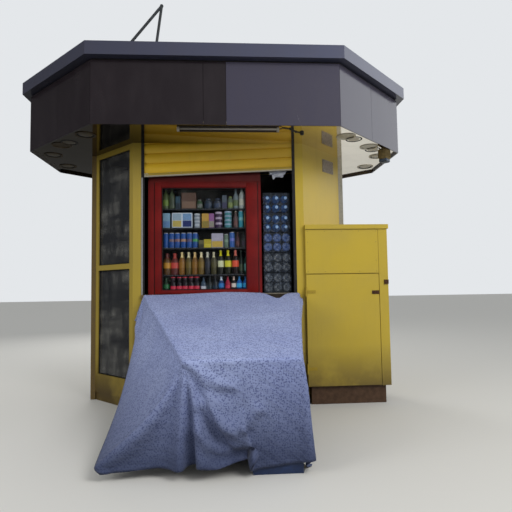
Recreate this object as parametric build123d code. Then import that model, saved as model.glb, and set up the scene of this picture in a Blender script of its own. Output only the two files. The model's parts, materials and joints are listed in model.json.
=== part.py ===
from build123d import *
import os
from math import asin, atan2, cos, degrees, radians, sin, sqrt, tan

# Street kiosk: an oblong cabin with cut-off corners under a wide flat canopy.
# Millimetres, +Z up. The origin is on the ground under the middle of the cabin,
# and the serving front faces -Y.

# Cabin plan and heights
BODY_WIDTH = 2510.0
BODY_DEPTH = 1280.0
CORNER_CUT = 455.0
WALL_THICKNESS = 50.0
BASE_HEIGHT = 80.0
BASE_WIDTH = 110.0
BASE_SETBACK = 10.0
FLOOR_THICKNESS = 20.0
SOFFIT_LEVEL = 2460.0

# Corner posts, folded round the corners of the cabin
FRONT_POST_FACE = 75.0
FRONT_POST_RETURN = 35.0
SIDE_POST_LEG = 25.0
UPRIGHT_SIZE = 48.0
UPRIGHT_WALL = 4.0
UPRIGHT_FROM_CORNER = 8.0

# Serving opening, counter and front wall
COUNTER_LEVEL = 1035.0
COUNTER_THICKNESS = 35.0
COUNTER_NOSE = 25.0
COUNTER_DEPTH = 450.0

# Glazed left front corner
SIDE_STILE = 20.0
SIDE_HEAD = 50.0
TRANSOM_LEVEL = 1280.0
TRANSOM_HEIGHT = 50.0
SIDE_SILL_LEVEL = 200.0
SIDE_SILL_HEIGHT = 60.0
GLASS_THICKNESS = 6.0

# Rear door
DOOR_WIDTH = 760.0
DOOR_HEIGHT = 2000.0
DOOR_GAP = 4.0
DOOR_FRAME = 45.0
DOOR_LEAF = 40.0
DOOR_HINGE_LEVELS = (0.12, 0.5, 0.88)
DOOR_HINGE_LENGTH = 100.0
DOOR_HINGE_WIDTH = 60.0
DOOR_HINGE_THICKNESS = 4.0
DOOR_HANDLE_LEVEL = 1050.0
DOOR_HANDLE_LENGTH = 160.0
DOOR_HANDLE_STAND = 45.0
DOOR_HANDLE_RADIUS = 9.0

# Canopy roof
FASCIA_OVERHANG = 572.0
FASCIA_BOTTOM = 2437.0
FASCIA_TOP = 2976.0
FASCIA_THICKNESS = 12.0
FASCIA_SEAM = 3.0
RING_THICKNESS = 40.0
SOFFIT_THICKNESS = 12.0
COPING_BOTTOM = 2991.0
COPING_HEIGHT = 121.0
COPING_OVERHANG = 68.0
COPING_WIDTH = 190.0
COPING_FALL = 8.0
DECK_THICKNESS = 30.0
MIDDLE_PANEL_WIDTH = 190.0
MIDDLE_PANEL_OFFSET = -22.0

# Recessed lights in the soffit
LIGHT_RADIUS = 90.0
LIGHT_BORE_RADIUS = 76.0
LIGHT_FLANGE = 5.0
LIGHT_CAN_HEIGHT = 70.0
LIGHT_LENS_DEPTH = 7.0
LIGHT_FROM_EDGE = 150.0
LIGHT_SPACING = 440.0

# Roller shutter, raised and hanging crooked
SLAT_PITCH = 95.0
SLAT_THICKNESS = 1.8
SLAT_CURVE_RADIUS = 80.0
SLAT_HOOK_CLEARANCE = 1.2
SLAT_HOOK_PLAY = 0.3
SLAT_HOOK_LIP = 4.0
SLAT_NECK = 4.0
SLAT_NECK_RADIUS = 6.0
SHUTTER_SLOPE = 2.8
SHUTTER_LOW_LEFT = 2136.0
GUIDE_WIDTH = 28.0
GUIDE_DEPTH = 36.0
GUIDE_WALL = 3.0
GUIDE_SLOT = 26.0
SHUTTER_SIDE_GAP = 5.0
BOTTOM_RAIL_HEIGHT = 34.0
BOTTOM_RAIL_THICKNESS = 22.0
SOFFIT_SLOT_WIDTH = 32.0
COIL_RADIUS = 105.0
COIL_TURN = 17.0
COIL_HALF_TURNS = 8
COIL_OVER_SOFFIT = 22.0
COIL_SIDE_INSET = 30.0
COIL_END_PLATE = 6.0
COIL_PLATE_MARGIN = 25.0
BARREL_AXLE_RADIUS = 12.0
BARREL_AXLE_END = 10.0
BARREL_CLEARANCE = 0.3

# Glazed display case on the counter
CASE_FROM_CORNER = 131.0
CASE_WIDTH = 1068.0
CASE_HEIGHT = 1075.0
CASE_SETBACK = 60.0
CASE_DEPTH = 370.0
CASE_LEFT_STILE = 127.0
CASE_RIGHT_STILE = 145.0
CASE_TOP_RAIL = 65.0
CASE_BOTTOM_RAIL = 40.0
CASE_FRAME_THICKNESS = 40.0
CASE_BOARD = 15.0
CASE_BACK = 10.0
SHELF_ONE = 1220.0
SHELF_TWO = 1475.0
SHELF_THREE = 1668.0
SHELF_FOUR = 1853.0
SHELF_THICKNESS = 12.0

# Bottle packs stacked in the right bay
PACK_DEPTH = 310.0
PACK_HEIGHT = 193.0
PACK_COUNT = 5
PACK_GAP = 0.4
PACK_CASE_GAP = 19.0
PACK_GUIDE_GAP = 11.0
PACK_SETBACK = 70.0

# Side cabinet
CABINET_WIDTH = 785.0
CABINET_DEPTH = 440.0
CABINET_GAP = 0.5
CABINET_FORWARD = 45.0
CABINET_BOTTOM = 165.0
CABINET_TOP = 1670.0
CABINET_SEAM = 1207.0
CABINET_SHEET = 20.0
CABINET_STILE = 85.0
CABINET_LIP = 42.0
CABINET_LIP_PROUD = 12.0
CABINET_PLINTH_SETBACK = 40.0
CABINET_DOOR_GAP = 5.0
CABINET_DOOR_THICKNESS = 20.0
CABINET_PANEL_GAP = 3.0
CABINET_PANEL_THICKNESS = 8.0
HINGE_RADIUS = 7.0
HINGE_PIN_RADIUS = 3.5
HINGE_LENGTH = 90.0
HINGE_CLEARANCE = 0.3
HINGE_LEAF = 3.0
LOWER_HINGE_LEVEL = 330.0
UPPER_HINGE_LEVEL = 1040.0
KNUCKLE_GAP = 1.0
HASP_LEVEL = 1028.0
HASP_WIDTH = 34.0
HASP_LENGTH = 70.0
HASP_THICKNESS = 4.0
LOCK_LEVEL = 1125.0
LOCK_SIZE = 40.0

# Lights and fittings
TUBE_LIGHT_LENGTH = 870.0
TUBE_LIGHT_WIDTH = 55.0
TUBE_LIGHT_HEIGHT = 42.0
TUBE_LIGHT_X = 90.0
TUBE_LIGHT_Y = -1095.0
LAMP_WIDTH = 110.0
LAMP_DEPTH = 84.0
LAMP_HEIGHT = 150.0
LAMP_FROM_CORNER = 195.0
LAMP_FROM_EDGE = 60.0
PLATE_WIDTH = 200.0
PLATE_HEIGHT = 130.0
PLATE_THICKNESS = 4.0
PLATE_LEVEL = 2250.0
PLATE_FROM_CORNER = 344.0

# Roof mast
MAST_RADIUS = 13.0
MAST_TOP_LEVEL = 3800.0
MAST_BASE_LEFT = 641.0
MAST_TOP_LEFT = 531.0
STRUT_BASE_LEFT = 1180.0
MAST_Y = -640.0
MAST_FLANGE = 60.0
MAST_FLANGE_THICKNESS = 6.0

# Covered stand in front of the counter
STAND_FRONT_Y = -2215.0
STAND_BACK_GAP = 0.3
STAND_BACK_LEVEL = 1028.0
STAND_FRONT_LEVEL = 662.0
STAND_BACK_LEFT_INSET = 110.0
STAND_BACK_RIGHT_INSET = 65.0
STAND_FRONT_LEFT_INSET = 600.0
STAND_FRONT_RIGHT_INSET = 300.0
STAND_FOOT_HEIGHT = 88.0
STAND_FOOT_WIDTH = 300.0
STAND_FOOT_DEPTH = 300.0
CLOTH_THICKNESS = 6.0
CLOTH_GAP = 0.4
CLOTH_HEM_SPREAD = 47.0
CLOTH_LEFT_INSET = 155.0
CLOTH_RIGHT_INSET = 240.0
CLOTH_LEFT_HEM_LEVEL = 38.0
CLOTH_RIGHT_HEM_LEVEL = 105.0

os.makedirs("parts", exist_ok=True)

HALF_W = BODY_WIDTH / 2
HALF_D = BODY_DEPTH / 2
FRONT_HALF = HALF_W - CORNER_CUT
SIDE_HALF = HALF_D - CORNER_CUT
CHAMFER_LENGTH = CORNER_CUT * sqrt(2)
FRONT_Y = -HALF_D

# The covered stand lies between the two front corners of the cabin
STAND_BACK_LEFT = STAND_BACK_LEFT_INSET - FRONT_HALF
STAND_BACK_RIGHT = FRONT_HALF - STAND_BACK_RIGHT_INSET
STAND_FRONT_LEFT = STAND_FRONT_LEFT_INSET - FRONT_HALF
STAND_FRONT_RIGHT = FRONT_HALF - STAND_FRONT_RIGHT_INSET
CLOTH_LEFT_CORNER = CLOTH_LEFT_INSET - FRONT_HALF
CLOTH_RIGHT_CORNER = FRONT_HALF - CLOTH_RIGHT_INSET

# The display case starts beside the left post
CASE_LEFT = CASE_FROM_CORNER - FRONT_HALF

# The corners of the cabin, anticlockwise from the front left
CORNERS = [
    (-FRONT_HALF, -HALF_D),
    (FRONT_HALF, -HALF_D),
    (HALF_W, -SIDE_HALF),
    (HALF_W, SIDE_HALF),
    (FRONT_HALF, HALF_D),
    (-FRONT_HALF, HALF_D),
    (-HALF_W, SIDE_HALF),
    (-HALF_W, -SIDE_HALF),
]
FRONT, RIGHT_FRONT, RIGHT, RIGHT_REAR, REAR, LEFT_REAR, LEFT, LEFT_FRONT = range(8)


def ring_points(offset):
    """The cabin's corners with every face moved outwards by offset."""
    miter = offset * tan(radians(22.5))
    a, b = FRONT_HALF + miter, SIDE_HALF + miter
    w, d = HALF_W + offset, HALF_D + offset
    return [(-a, -d), (a, -d), (w, -b), (w, b), (a, d), (-a, d), (-w, b), (-w, -b)]


def prism(points, low, high):
    """An upright prism on a closed outline."""
    outline = Polyline(*[(x, y, low) for x, y in points], close=True)
    return extrude(make_face(outline), amount=high - low, dir=(0, 0, 1))


def slab(x0, x1, y0, y1, z0, z1):
    """A block between two corners."""
    size = (x1 - x0, y1 - y0, z1 - z0)
    place = Pos((x0 + x1) / 2, (y0 + y1) / 2, (z0 + z1) / 2)
    return place * Box(*size)


def octagon_ring(outer, inner, low, high):
    """An octagonal ring between two offsets from the cabin's faces."""
    return prism(ring_points(outer), low, high) - prism(ring_points(inner), low, high)


def face_frame(side, offset=0.0):
    """Start point, direction along a face and outward normal of one side."""
    points = ring_points(offset)
    x0, y0 = points[side]
    x1, y1 = points[(side + 1) % 8]
    length = sqrt((x1 - x0) ** 2 + (y1 - y0) ** 2)
    along = ((x1 - x0) / length, (y1 - y0) / length)
    return (x0, y0), along, (along[1], -along[0]), length


def face_points(side, start, end, depth_out, depth_in, offset=0.0):
    """Plan outline of a strip that lies along one side of the cabin."""
    (x, y), (ax, ay), (nx, ny), _ = face_frame(side, offset)
    spots = [(start, depth_out), (end, depth_out), (end, -depth_in), (start, -depth_in)]
    return [(x + ax * s + nx * d, y + ay * s + ny * d) for s, d in spots]


def face_slab(side, start, end, low, high, depth_out=0.0, depth_in=WALL_THICKNESS):
    """A wall panel along one side, from its outer face inwards."""
    return prism(face_points(side, start, end, depth_out, depth_in), low, high)


def corner_post(corner, leg_before, leg_after, low, high):
    """A post folded round one corner, with a leg along each of its two faces."""
    before = (corner - 1) % 8
    length = face_frame(before)[3]
    first = face_points(before, length - leg_before, length, 0.0, WALL_THICKNESS)
    second = face_points(corner, 0.0, leg_after, 0.0, WALL_THICKNESS)
    inner = ring_points(-WALL_THICKNESS)[corner]
    return prism([first[0], CORNERS[corner], second[1], second[2], inner, first[3]], low, high)


def save(name, shape):
    """Writes one node."""
    export_step(shape, os.path.join("parts", name + ".step"))


# Base and floor

def base_frame():
    outer = -BASE_SETBACK
    ring = octagon_ring(outer, outer - BASE_WIDTH, 0.0, BASE_HEIGHT)
    reach = HALF_D - BASE_SETBACK - BASE_WIDTH
    middle = slab(-BASE_WIDTH / 2, BASE_WIDTH / 2, -reach, reach, 0.0, BASE_HEIGHT)
    sides = FRONT_HALF / 2
    left = slab(-sides - BASE_WIDTH / 2, -sides + BASE_WIDTH / 2, -reach, reach, 0.0, BASE_HEIGHT)
    right = slab(sides - BASE_WIDTH / 2, sides + BASE_WIDTH / 2, -reach, reach, 0.0, BASE_HEIGHT)
    return ring + middle + left + right


def floor_plate():
    return prism(ring_points(-WALL_THICKNESS), BASE_HEIGHT, BASE_HEIGHT + FLOOR_THICKNESS)


# Posts and walls

def front_post(corner):
    if corner == 0:
        return corner_post(0, FRONT_POST_RETURN, FRONT_POST_FACE, BASE_HEIGHT, SOFFIT_LEVEL)
    return corner_post(1, FRONT_POST_FACE, FRONT_POST_RETURN, BASE_HEIGHT, SOFFIT_LEVEL)


def plain_posts(corners):
    posts = [corner_post(c, SIDE_POST_LEG, SIDE_POST_LEG, BASE_HEIGHT, SOFFIT_LEVEL) for c in corners]
    return Compound(children=posts)


def uprights():
    """Galvanised box posts that stand against both ends of the cabin."""
    posts = []
    for sign, end in ((-1, -1), (-1, 1), (1, -1), (1, 1)):
        outer = end * (SIDE_HALF - UPRIGHT_FROM_CORNER)
        inner = end * (SIDE_HALF - UPRIGHT_FROM_CORNER - UPRIGHT_SIZE)
        y0, y1 = sorted((outer, inner))
        x0, x1 = sorted((sign * HALF_W, sign * (HALF_W + UPRIGHT_SIZE)))
        post = slab(x0, x1, y0, y1, 0.0, SOFFIT_LEVEL)
        w = UPRIGHT_WALL
        hollow = slab(x0 + w, x1 - w, y0 + w, y1 - w, w, SOFFIT_LEVEL - w)
        posts.append(post - hollow)
    return Compound(children=posts)


def front_lower_wall():
    length = 2 * FRONT_HALF
    top = COUNTER_LEVEL - COUNTER_THICKNESS
    return face_slab(FRONT, FRONT_POST_FACE, length - FRONT_POST_FACE, BASE_HEIGHT, top)


def counter():
    half = FRONT_HALF - FRONT_POST_FACE
    low = COUNTER_LEVEL - COUNTER_THICKNESS
    return slab(-half, half, FRONT_Y - COUNTER_NOSE, FRONT_Y + COUNTER_DEPTH, low, COUNTER_LEVEL)


def chamfer_limits():
    return FRONT_POST_RETURN, CHAMFER_LENGTH - SIDE_POST_LEG


def left_window_frame():
    """The glazed corner's frame: sill, transom and head between two stiles."""
    near, far = CHAMFER_LENGTH - chamfer_limits()[0], CHAMFER_LENGTH - chamfer_limits()[1]
    outer = face_slab(LEFT_FRONT, far, near, SIDE_SILL_LEVEL, SOFFIT_LEVEL)
    low = SIDE_SILL_LEVEL + SIDE_SILL_HEIGHT
    lower = face_slab(LEFT_FRONT, far + SIDE_STILE, near - SIDE_STILE, low, TRANSOM_LEVEL)
    mid = TRANSOM_LEVEL + TRANSOM_HEIGHT
    top = SOFFIT_LEVEL - SIDE_HEAD
    upper = face_slab(LEFT_FRONT, far + SIDE_STILE, near - SIDE_STILE, mid, top)
    return outer - lower - upper


def left_window_glass():
    near, far = CHAMFER_LENGTH - chamfer_limits()[0], CHAMFER_LENGTH - chamfer_limits()[1]
    front = WALL_THICKNESS / 2 - GLASS_THICKNESS / 2
    back = front + GLASS_THICKNESS
    a, b = far + SIDE_STILE, near - SIDE_STILE
    low = SIDE_SILL_LEVEL + SIDE_SILL_HEIGHT
    lower = face_slab(LEFT_FRONT, a, b, low, TRANSOM_LEVEL, -front, back)
    mid = TRANSOM_LEVEL + TRANSOM_HEIGHT
    upper = face_slab(LEFT_FRONT, a, b, mid, SOFFIT_LEVEL - SIDE_HEAD, -front, back)
    return Compound(children=[lower, upper])


def left_kick_panel():
    near, far = CHAMFER_LENGTH - chamfer_limits()[0], CHAMFER_LENGTH - chamfer_limits()[1]
    return face_slab(LEFT_FRONT, far, near, BASE_HEIGHT, SIDE_SILL_LEVEL)


def right_front_wall():
    near, far = chamfer_limits()
    return face_slab(RIGHT_FRONT, near, far, BASE_HEIGHT, SOFFIT_LEVEL)


def plain_wall(side):
    length = face_frame(side)[3]
    return face_slab(side, SIDE_POST_LEG, length - SIDE_POST_LEG, BASE_HEIGHT, SOFFIT_LEVEL)


def rear_wall():
    wall = plain_wall(REAR)
    half = DOOR_WIDTH / 2 + DOOR_GAP + DOOR_FRAME
    floor = BASE_HEIGHT + FLOOR_THICKNESS
    top = floor + DOOR_HEIGHT + 2 * DOOR_GAP + DOOR_FRAME
    hole = slab(-half, half, HALF_D - 2 * WALL_THICKNESS, HALF_D + WALL_THICKNESS, floor, top)
    return wall - hole


def rear_door_frame():
    half = DOOR_WIDTH / 2 + DOOR_GAP
    floor = BASE_HEIGHT + FLOOR_THICKNESS
    top = floor + DOOR_HEIGHT + 2 * DOOR_GAP
    y0, y1 = HALF_D - WALL_THICKNESS, HALF_D
    outer = slab(-half - DOOR_FRAME, half + DOOR_FRAME, y0, y1, floor, top + DOOR_FRAME)
    return outer - slab(-half, half, y0, y1, floor, top)


def rear_door():
    half = DOOR_WIDTH / 2
    floor = BASE_HEIGHT + FLOOR_THICKNESS
    y1 = HALF_D
    return slab(-half, half, y1 - DOOR_LEAF, y1, floor + DOOR_GAP, floor + DOOR_GAP + DOOR_HEIGHT)


def rear_door_fittings():
    """Hinges across the door's left joint, and an upright pull handle at its right."""
    shapes = []
    floor = BASE_HEIGHT + FLOOR_THICKNESS
    joint = -(DOOR_WIDTH + DOOR_GAP) / 2
    half = DOOR_HINGE_WIDTH / 2
    t = DOOR_HINGE_THICKNESS
    for share in DOOR_HINGE_LEVELS:
        z = floor + DOOR_HEIGHT * share
        low, high = z - DOOR_HINGE_LENGTH / 2, z + DOOR_HINGE_LENGTH / 2
        leaf = slab(joint - half, joint + half, HALF_D, HALF_D + t, low, high)
        barrel = Pos(joint, HALF_D + t + HINGE_RADIUS / 2, z) * Cylinder(HINGE_RADIUS, DOOR_HINGE_LENGTH)
        shapes.append(leaf + (barrel - slab(-HALF_W, HALF_W, 0, HALF_D + t, low, high)))
    x = DOOR_WIDTH / 2 - 2 * DOOR_HANDLE_STAND
    y = HALF_D + DOOR_HANDLE_STAND
    r = DOOR_HANDLE_RADIUS
    handle = Pos(x, y, DOOR_HANDLE_LEVEL) * Cylinder(r, DOOR_HANDLE_LENGTH)
    for sign in (-1, 1):
        z = DOOR_HANDLE_LEVEL + sign * (DOOR_HANDLE_LENGTH / 2 - r)
        handle += slab(x - r / 2, x + r / 2, HALF_D, y, z - r / 2, z + r / 2)
    return Compound(children=shapes + [handle])


# Canopy roof

def light_spots():
    """Centres of the recessed lights: two under each slant and two under each end."""
    spots = []
    for side in (RIGHT_FRONT, RIGHT, LEFT_FRONT, LEFT):
        (x, y), (ax, ay), (nx, ny), length = face_frame(side, FASCIA_OVERHANG)
        for step in (-0.5, 0.5):
            s = length / 2 + step * LIGHT_SPACING
            spots.append((x + ax * s - nx * LIGHT_FROM_EDGE, y + ay * s - ny * LIGHT_FROM_EDGE))
    return spots


def soffit_panel():
    offset = FASCIA_OVERHANG - FASCIA_THICKNESS
    panel = prism(ring_points(offset), SOFFIT_LEVEL, SOFFIT_LEVEL + SOFFIT_THICKNESS)
    for x, y in light_spots():
        place = Pos(x, y, SOFFIT_LEVEL + SOFFIT_THICKNESS / 2)
        panel -= place * Cylinder(LIGHT_BORE_RADIUS, SOFFIT_THICKNESS)
    y = shutter_plane_y()
    half = SOFFIT_SLOT_WIDTH / 2
    top = SOFFIT_LEVEL + SOFFIT_THICKNESS
    return panel - slab(-opening_half(), opening_half(), y - half, y + half, SOFFIT_LEVEL, top)


def soffit_lights():
    """Round lights that stand in the soffit's holes: a rim below it and a sunken lens."""
    lights = []
    lens_radius = LIGHT_BORE_RADIUS - LIGHT_FLANGE
    for x, y in light_spots():
        height = SOFFIT_THICKNESS + LIGHT_CAN_HEIGHT
        can = Pos(x, y, SOFFIT_LEVEL + height / 2) * Cylinder(LIGHT_BORE_RADIUS, height)
        rim = Pos(x, y, SOFFIT_LEVEL - LIGHT_FLANGE / 2) * Cylinder(LIGHT_RADIUS, LIGHT_FLANGE)
        foot = SOFFIT_LEVEL - LIGHT_FLANGE
        dish = Cone(LIGHT_BORE_RADIUS, lens_radius, LIGHT_LENS_DEPTH)
        lights.append(can + rim - Pos(x, y, foot + LIGHT_LENS_DEPTH / 2) * dish)
    return Compound(children=lights)


def roof_ring():
    outer = FASCIA_OVERHANG - FASCIA_THICKNESS
    low = SOFFIT_LEVEL + SOFFIT_THICKNESS
    return octagon_ring(outer, outer - RING_THICKNESS, low, COPING_BOTTOM)


def roof_deck():
    offset = FASCIA_OVERHANG - FASCIA_THICKNESS - RING_THICKNESS
    return prism(ring_points(offset), COPING_BOTTOM - DECK_THICKNESS, COPING_BOTTOM)


def coping():
    """The roof's edge cap: a broad band with a fall on top and a drip at its foot."""
    outer = FASCIA_OVERHANG + COPING_OVERHANG
    inner = outer - COPING_WIDTH
    top = COPING_BOTTOM + COPING_HEIGHT
    band = octagon_ring(outer, inner, COPING_BOTTOM, top - COPING_FALL)
    foot = make_face(Polyline(*[(x, y, top - COPING_FALL) for x, y in ring_points(outer)], close=True))
    head = make_face(Polyline(*[(x, y, top) for x, y in ring_points(outer - COPING_WIDTH / 2)], close=True))
    crown = loft([foot, head])
    crown -= prism(ring_points(inner), top - COPING_FALL, top)
    return band + crown


def fascia_strip(side, start, end, mitre_start, mitre_end):
    """One flat fascia panel, with its ends cut square or mitred at the corner."""
    (x, y), (ax, ay), (nx, ny), _ = face_frame(side, FASCIA_OVERHANG)
    back = FASCIA_THICKNESS
    cut = back * tan(radians(22.5))
    s0 = start + (cut if mitre_start else 0.0)
    s1 = end - (cut if mitre_end else 0.0)
    spots = [(start, 0.0), (end, 0.0), (s1, -back), (s0, -back)]
    return prism([(x + ax * s + nx * d, y + ay * s + ny * d) for s, d in spots], FASCIA_BOTTOM, FASCIA_TOP)


def fascia(side, seams=()):
    """The panels along one side of the canopy, parted by narrow open seams."""
    length = face_frame(side, FASCIA_OVERHANG)[3]
    half = FASCIA_SEAM / 2
    edges = [half] + [e for s in seams for e in (s - half, s + half)] + [length - half]
    pairs = list(zip(edges[0::2], edges[1::2]))
    last = len(pairs) - 1
    strips = [fascia_strip(side, a, b, i == 0, i == last) for i, (a, b) in enumerate(pairs)]
    return strips


def front_seams():
    middle = face_frame(FRONT, FASCIA_OVERHANG)[3] / 2 + MIDDLE_PANEL_OFFSET
    return middle - MIDDLE_PANEL_WIDTH / 2, middle + MIDDLE_PANEL_WIDTH / 2


def half_seam(side):
    return (face_frame(side, FASCIA_OVERHANG)[3] / 2,)


def rear_fascias():
    strips = fascia(RIGHT_REAR, half_seam(RIGHT_REAR)) + fascia(LEFT_REAR, half_seam(LEFT_REAR))
    return Compound(children=strips + fascia(REAR, half_seam(REAR)))


# Roller shutter

def shutter_plane_y():
    return FRONT_Y + GUIDE_DEPTH / 2


def opening_half():
    return FRONT_HALF - FRONT_POST_FACE


def section_bend(centre, radius, start, end):
    """An arc in the curtain's upright section, between two angles in degrees."""
    spots = []
    for angle in (start, (start + end) / 2, end):
        y = centre[0] + radius * cos(radians(angle))
        z = centre[1] + radius * sin(radians(angle))
        spots.append((0, y, z))
    return ThreePointArc(*spots)


def ribbon(bends, lip, half_width):
    """A strip of even thickness along tangent bends, with a straight lip at both ends."""
    t = SLAT_THICKNESS / 2
    left, right = [], []
    for centre, radius, start, end in bends:
        turn = 1 if end > start else -1
        left.append(section_bend(centre, radius - turn * t, start, end))
        right.append(section_bend(centre, radius + turn * t, start, end))
    first = [left[0] @ 0, right[0] @ 0]
    last = [left[-1] @ 1, right[-1] @ 1]
    rise = Vector(0, 0, lip)
    edges = left + right
    if lip > 0:
        edges += [Line(first[0], first[0] + rise), Line(first[1], first[1] + rise)]
        edges += [Line(last[0], last[0] - rise), Line(last[1], last[1] - rise)]
    edges.append(Line(first[0] + rise, first[1] + rise))
    edges.append(Line(last[0] - rise, last[1] - rise))
    return extrude(make_face(Wire(edges)), amount=half_width, dir=(1, 0, 0), both=True)


def hook_radius():
    """Both hooks of a slat are bent to this radius, so that each fits in the next."""
    return SLAT_THICKNESS + SLAT_HOOK_CLEARANCE


def hook_rise():
    """Height of a slat's top hook above the bottom hook that it hangs in."""
    return SLAT_HOOK_LIP + SLAT_HOOK_PLAY - SLAT_HOOK_CLEARANCE - SLAT_THICKNESS / 2


def slat_angles():
    """Lean of the curved body at its foot and at its head, found by repeated correction."""
    r, body, neck = hook_radius(), SLAT_CURVE_RADIUS, SLAT_NECK_RADIUS
    foot = head = radians(30.0)
    for _ in range(40):
        across = 2 * r + r * cos(foot) - neck * (1 - cos(head))
        up = SLAT_PITCH + hook_rise() + r * sin(foot) - SLAT_NECK - neck * sin(head)
        skew = atan2(across, up)
        lean = asin(sqrt(across**2 + up**2) / (2 * body))
        foot, head = lean - skew, lean + skew
    return degrees(foot), degrees(head)


def section_middle():
    """Depth of a slat's bottom hook behind the middle of the curtain."""
    foot, r = radians(slat_angles()[0]), hook_radius()
    front = r * cos(foot) + SLAT_CURVE_RADIUS * (1 - cos(foot))
    return (front - 2 * r) / 2


def slat(level):
    """One curved slat: a hook turned back and up at its foot, and one turned forward
    and down at its head, which hangs in the foot of the slat above. Level is the height
    of the bottom hook's centre before the curtain is tilted."""
    foot, head = slat_angles()
    r, body = hook_radius(), SLAT_CURVE_RADIUS
    y = shutter_plane_y() + section_middle()
    start = (y - r * cos(radians(foot)), level - r * sin(radians(foot)))
    middle = (start[0] + body * cos(radians(foot)), start[1] + body * sin(radians(foot)))
    neck_y = y + 2 * r - SLAT_NECK_RADIUS
    crown = level + SLAT_PITCH + hook_rise()
    bends = [
        ((y, level), r, 0, foot - 180),
        (middle, body, 180 + foot, 180 - head),
        ((neck_y, crown - SLAT_NECK), SLAT_NECK_RADIUS, -head, 0),
    ]
    blade = ribbon(bends, 0, HALF_W)
    t = SLAT_THICKNESS / 2
    lip = slab(-HALF_W, HALF_W, y + r - t, y + r + t, level, level + SLAT_HOOK_LIP)
    return blade + lip + slat_hook(crown, SLAT_NECK)


def slat_hook(crown, neck):
    """The hook at a slat's head: a straight neck, a turn over forwards and a lip down."""
    r, t = hook_radius(), SLAT_THICKNESS / 2
    y = shutter_plane_y() + section_middle() + r
    hook = ribbon([((y, crown), r, 0, 180)], 0, HALF_W)
    back = slab(-HALF_W, HALF_W, y + r - t, y + r + t, crown - neck, crown)
    lip = slab(-HALF_W, HALF_W, y - r - t, y - r + t, crown - SLAT_HOOK_LIP, crown)
    return hook + back + lip


def rail_neck():
    """Length of the bottom rail's neck, which clears the foot of the lowest slat."""
    return hook_rise() + hook_radius() + SLAT_THICKNESS / 2 + SLAT_HOOK_CLEARANCE


def lowest_slat():
    """Height of the lowest slat's bottom hook above the curtain's foot."""
    return BOTTOM_RAIL_HEIGHT + rail_neck() - hook_rise()


def coil_level():
    """Height of the coil's axis, in the roof over the soffit."""
    return SOFFIT_LEVEL + SOFFIT_THICKNESS + COIL_OVER_SOFFIT + COIL_RADIUS


def clip_curtain(shape):
    """Tilts a shape with the crooked curtain and cuts it to the guides and the coil."""
    half = opening_half() - SHUTTER_SIDE_GAP
    pivot = Location((-opening_half(), 0, SHUTTER_LOW_LEFT))
    tilted = pivot * Rotation(0, -SHUTTER_SLOPE, 0) * pivot.inverse() * shape
    y = shutter_plane_y()
    top = coil_level() - SLAT_HOOK_PLAY
    return tilted & slab(-half, half, y - GUIDE_SLOT / 2, y + GUIDE_SLOT / 2, COUNTER_LEVEL, top)


def shutter_curtain():
    """The slats between the bottom rail and the coil, each hung in the one above."""
    slats = []
    level = SHUTTER_LOW_LEFT + lowest_slat()
    while level < coil_level():
        slats.append(clip_curtain(slat(level)))
        level += SLAT_PITCH
    return Compound(children=slats)


def shutter_bottom_rail():
    y = shutter_plane_y()
    t = BOTTOM_RAIL_THICKNESS / 2
    top = SHUTTER_LOW_LEFT + BOTTOM_RAIL_HEIGHT
    bar = slab(-HALF_W, HALF_W, y - t, y + t, SHUTTER_LOW_LEFT, top)
    return clip_curtain(bar + slat_hook(top + rail_neck(), rail_neck()))


def shutter_guides():
    """A channel up each side of the serving opening, with its slot facing the curtain."""
    guides = []
    for sign in (-1, 1):
        outer = sign * opening_half()
        inner = sign * (opening_half() - GUIDE_WIDTH)
        x0, x1 = sorted((outer, inner))
        bar = slab(x0, x1, FRONT_Y, FRONT_Y + GUIDE_DEPTH, COUNTER_LEVEL, SOFFIT_LEVEL)
        wall = sign * (opening_half() - GUIDE_WALL)
        s0, s1 = sorted((wall, inner))
        y = shutter_plane_y()
        slot = slab(s0, s1, y - GUIDE_SLOT / 2 - 1, y + GUIDE_SLOT / 2 + 1, COUNTER_LEVEL, SOFFIT_LEVEL)
        guides.append(bar - slot)
    return Compound(children=guides)


def coil_half():
    return opening_half() - COIL_SIDE_INSET


def shutter_coil():
    """The wound part of the curtain: half turns whose radius shrinks step by step."""
    y = shutter_plane_y() + COIL_RADIUS
    z = coil_level()
    bends = []
    for index in range(COIL_HALF_TURNS):
        shift = COIL_TURN / 2 if index % 2 else 0.0
        start = 0 if index % 2 else 180
        bends.append(((y + shift, z), COIL_RADIUS - index * COIL_TURN / 2, start, start - 180))
    return ribbon(bends, 0, coil_half())


def barrel_axis():
    return Pos(0, shutter_plane_y() + COIL_RADIUS + COIL_TURN / 2, coil_level()) * Rotation(0, 90, 0)


def coil_barrel():
    """The tube that the curtain winds on, with an axle at both ends."""
    wound = COIL_RADIUS - (COIL_HALF_TURNS - 1) * COIL_TURN / 2
    radius = wound - SLAT_THICKNESS / 2 - BARREL_CLEARANCE
    length = 2 * (coil_half() - BARREL_CLEARANCE)
    axle = length + 2 * (COIL_END_PLATE + BARREL_AXLE_END)
    return barrel_axis() * (Cylinder(radius, length) + Cylinder(BARREL_AXLE_RADIUS, axle))


def coil_brackets():
    """End plates that stand on the soffit and carry the barrel's axles."""
    half = coil_half()
    low = SOFFIT_LEVEL + SOFFIT_THICKNESS
    high = coil_level() + 2 * COIL_PLATE_MARGIN
    y = shutter_plane_y() + COIL_RADIUS + COIL_TURN / 2
    reach = COIL_RADIUS - COIL_PLATE_MARGIN
    bore = barrel_axis() * Cylinder(BARREL_AXLE_RADIUS + BARREL_CLEARANCE, BODY_WIDTH)
    left = slab(-half - COIL_END_PLATE, -half, y - reach, y + reach, low, high) - bore
    right = slab(half, half + COIL_END_PLATE, y - reach, y + reach, low, high) - bore
    return Compound(children=[left, right])


# Display case

def case_front_y():
    return FRONT_Y + CASE_SETBACK


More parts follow.
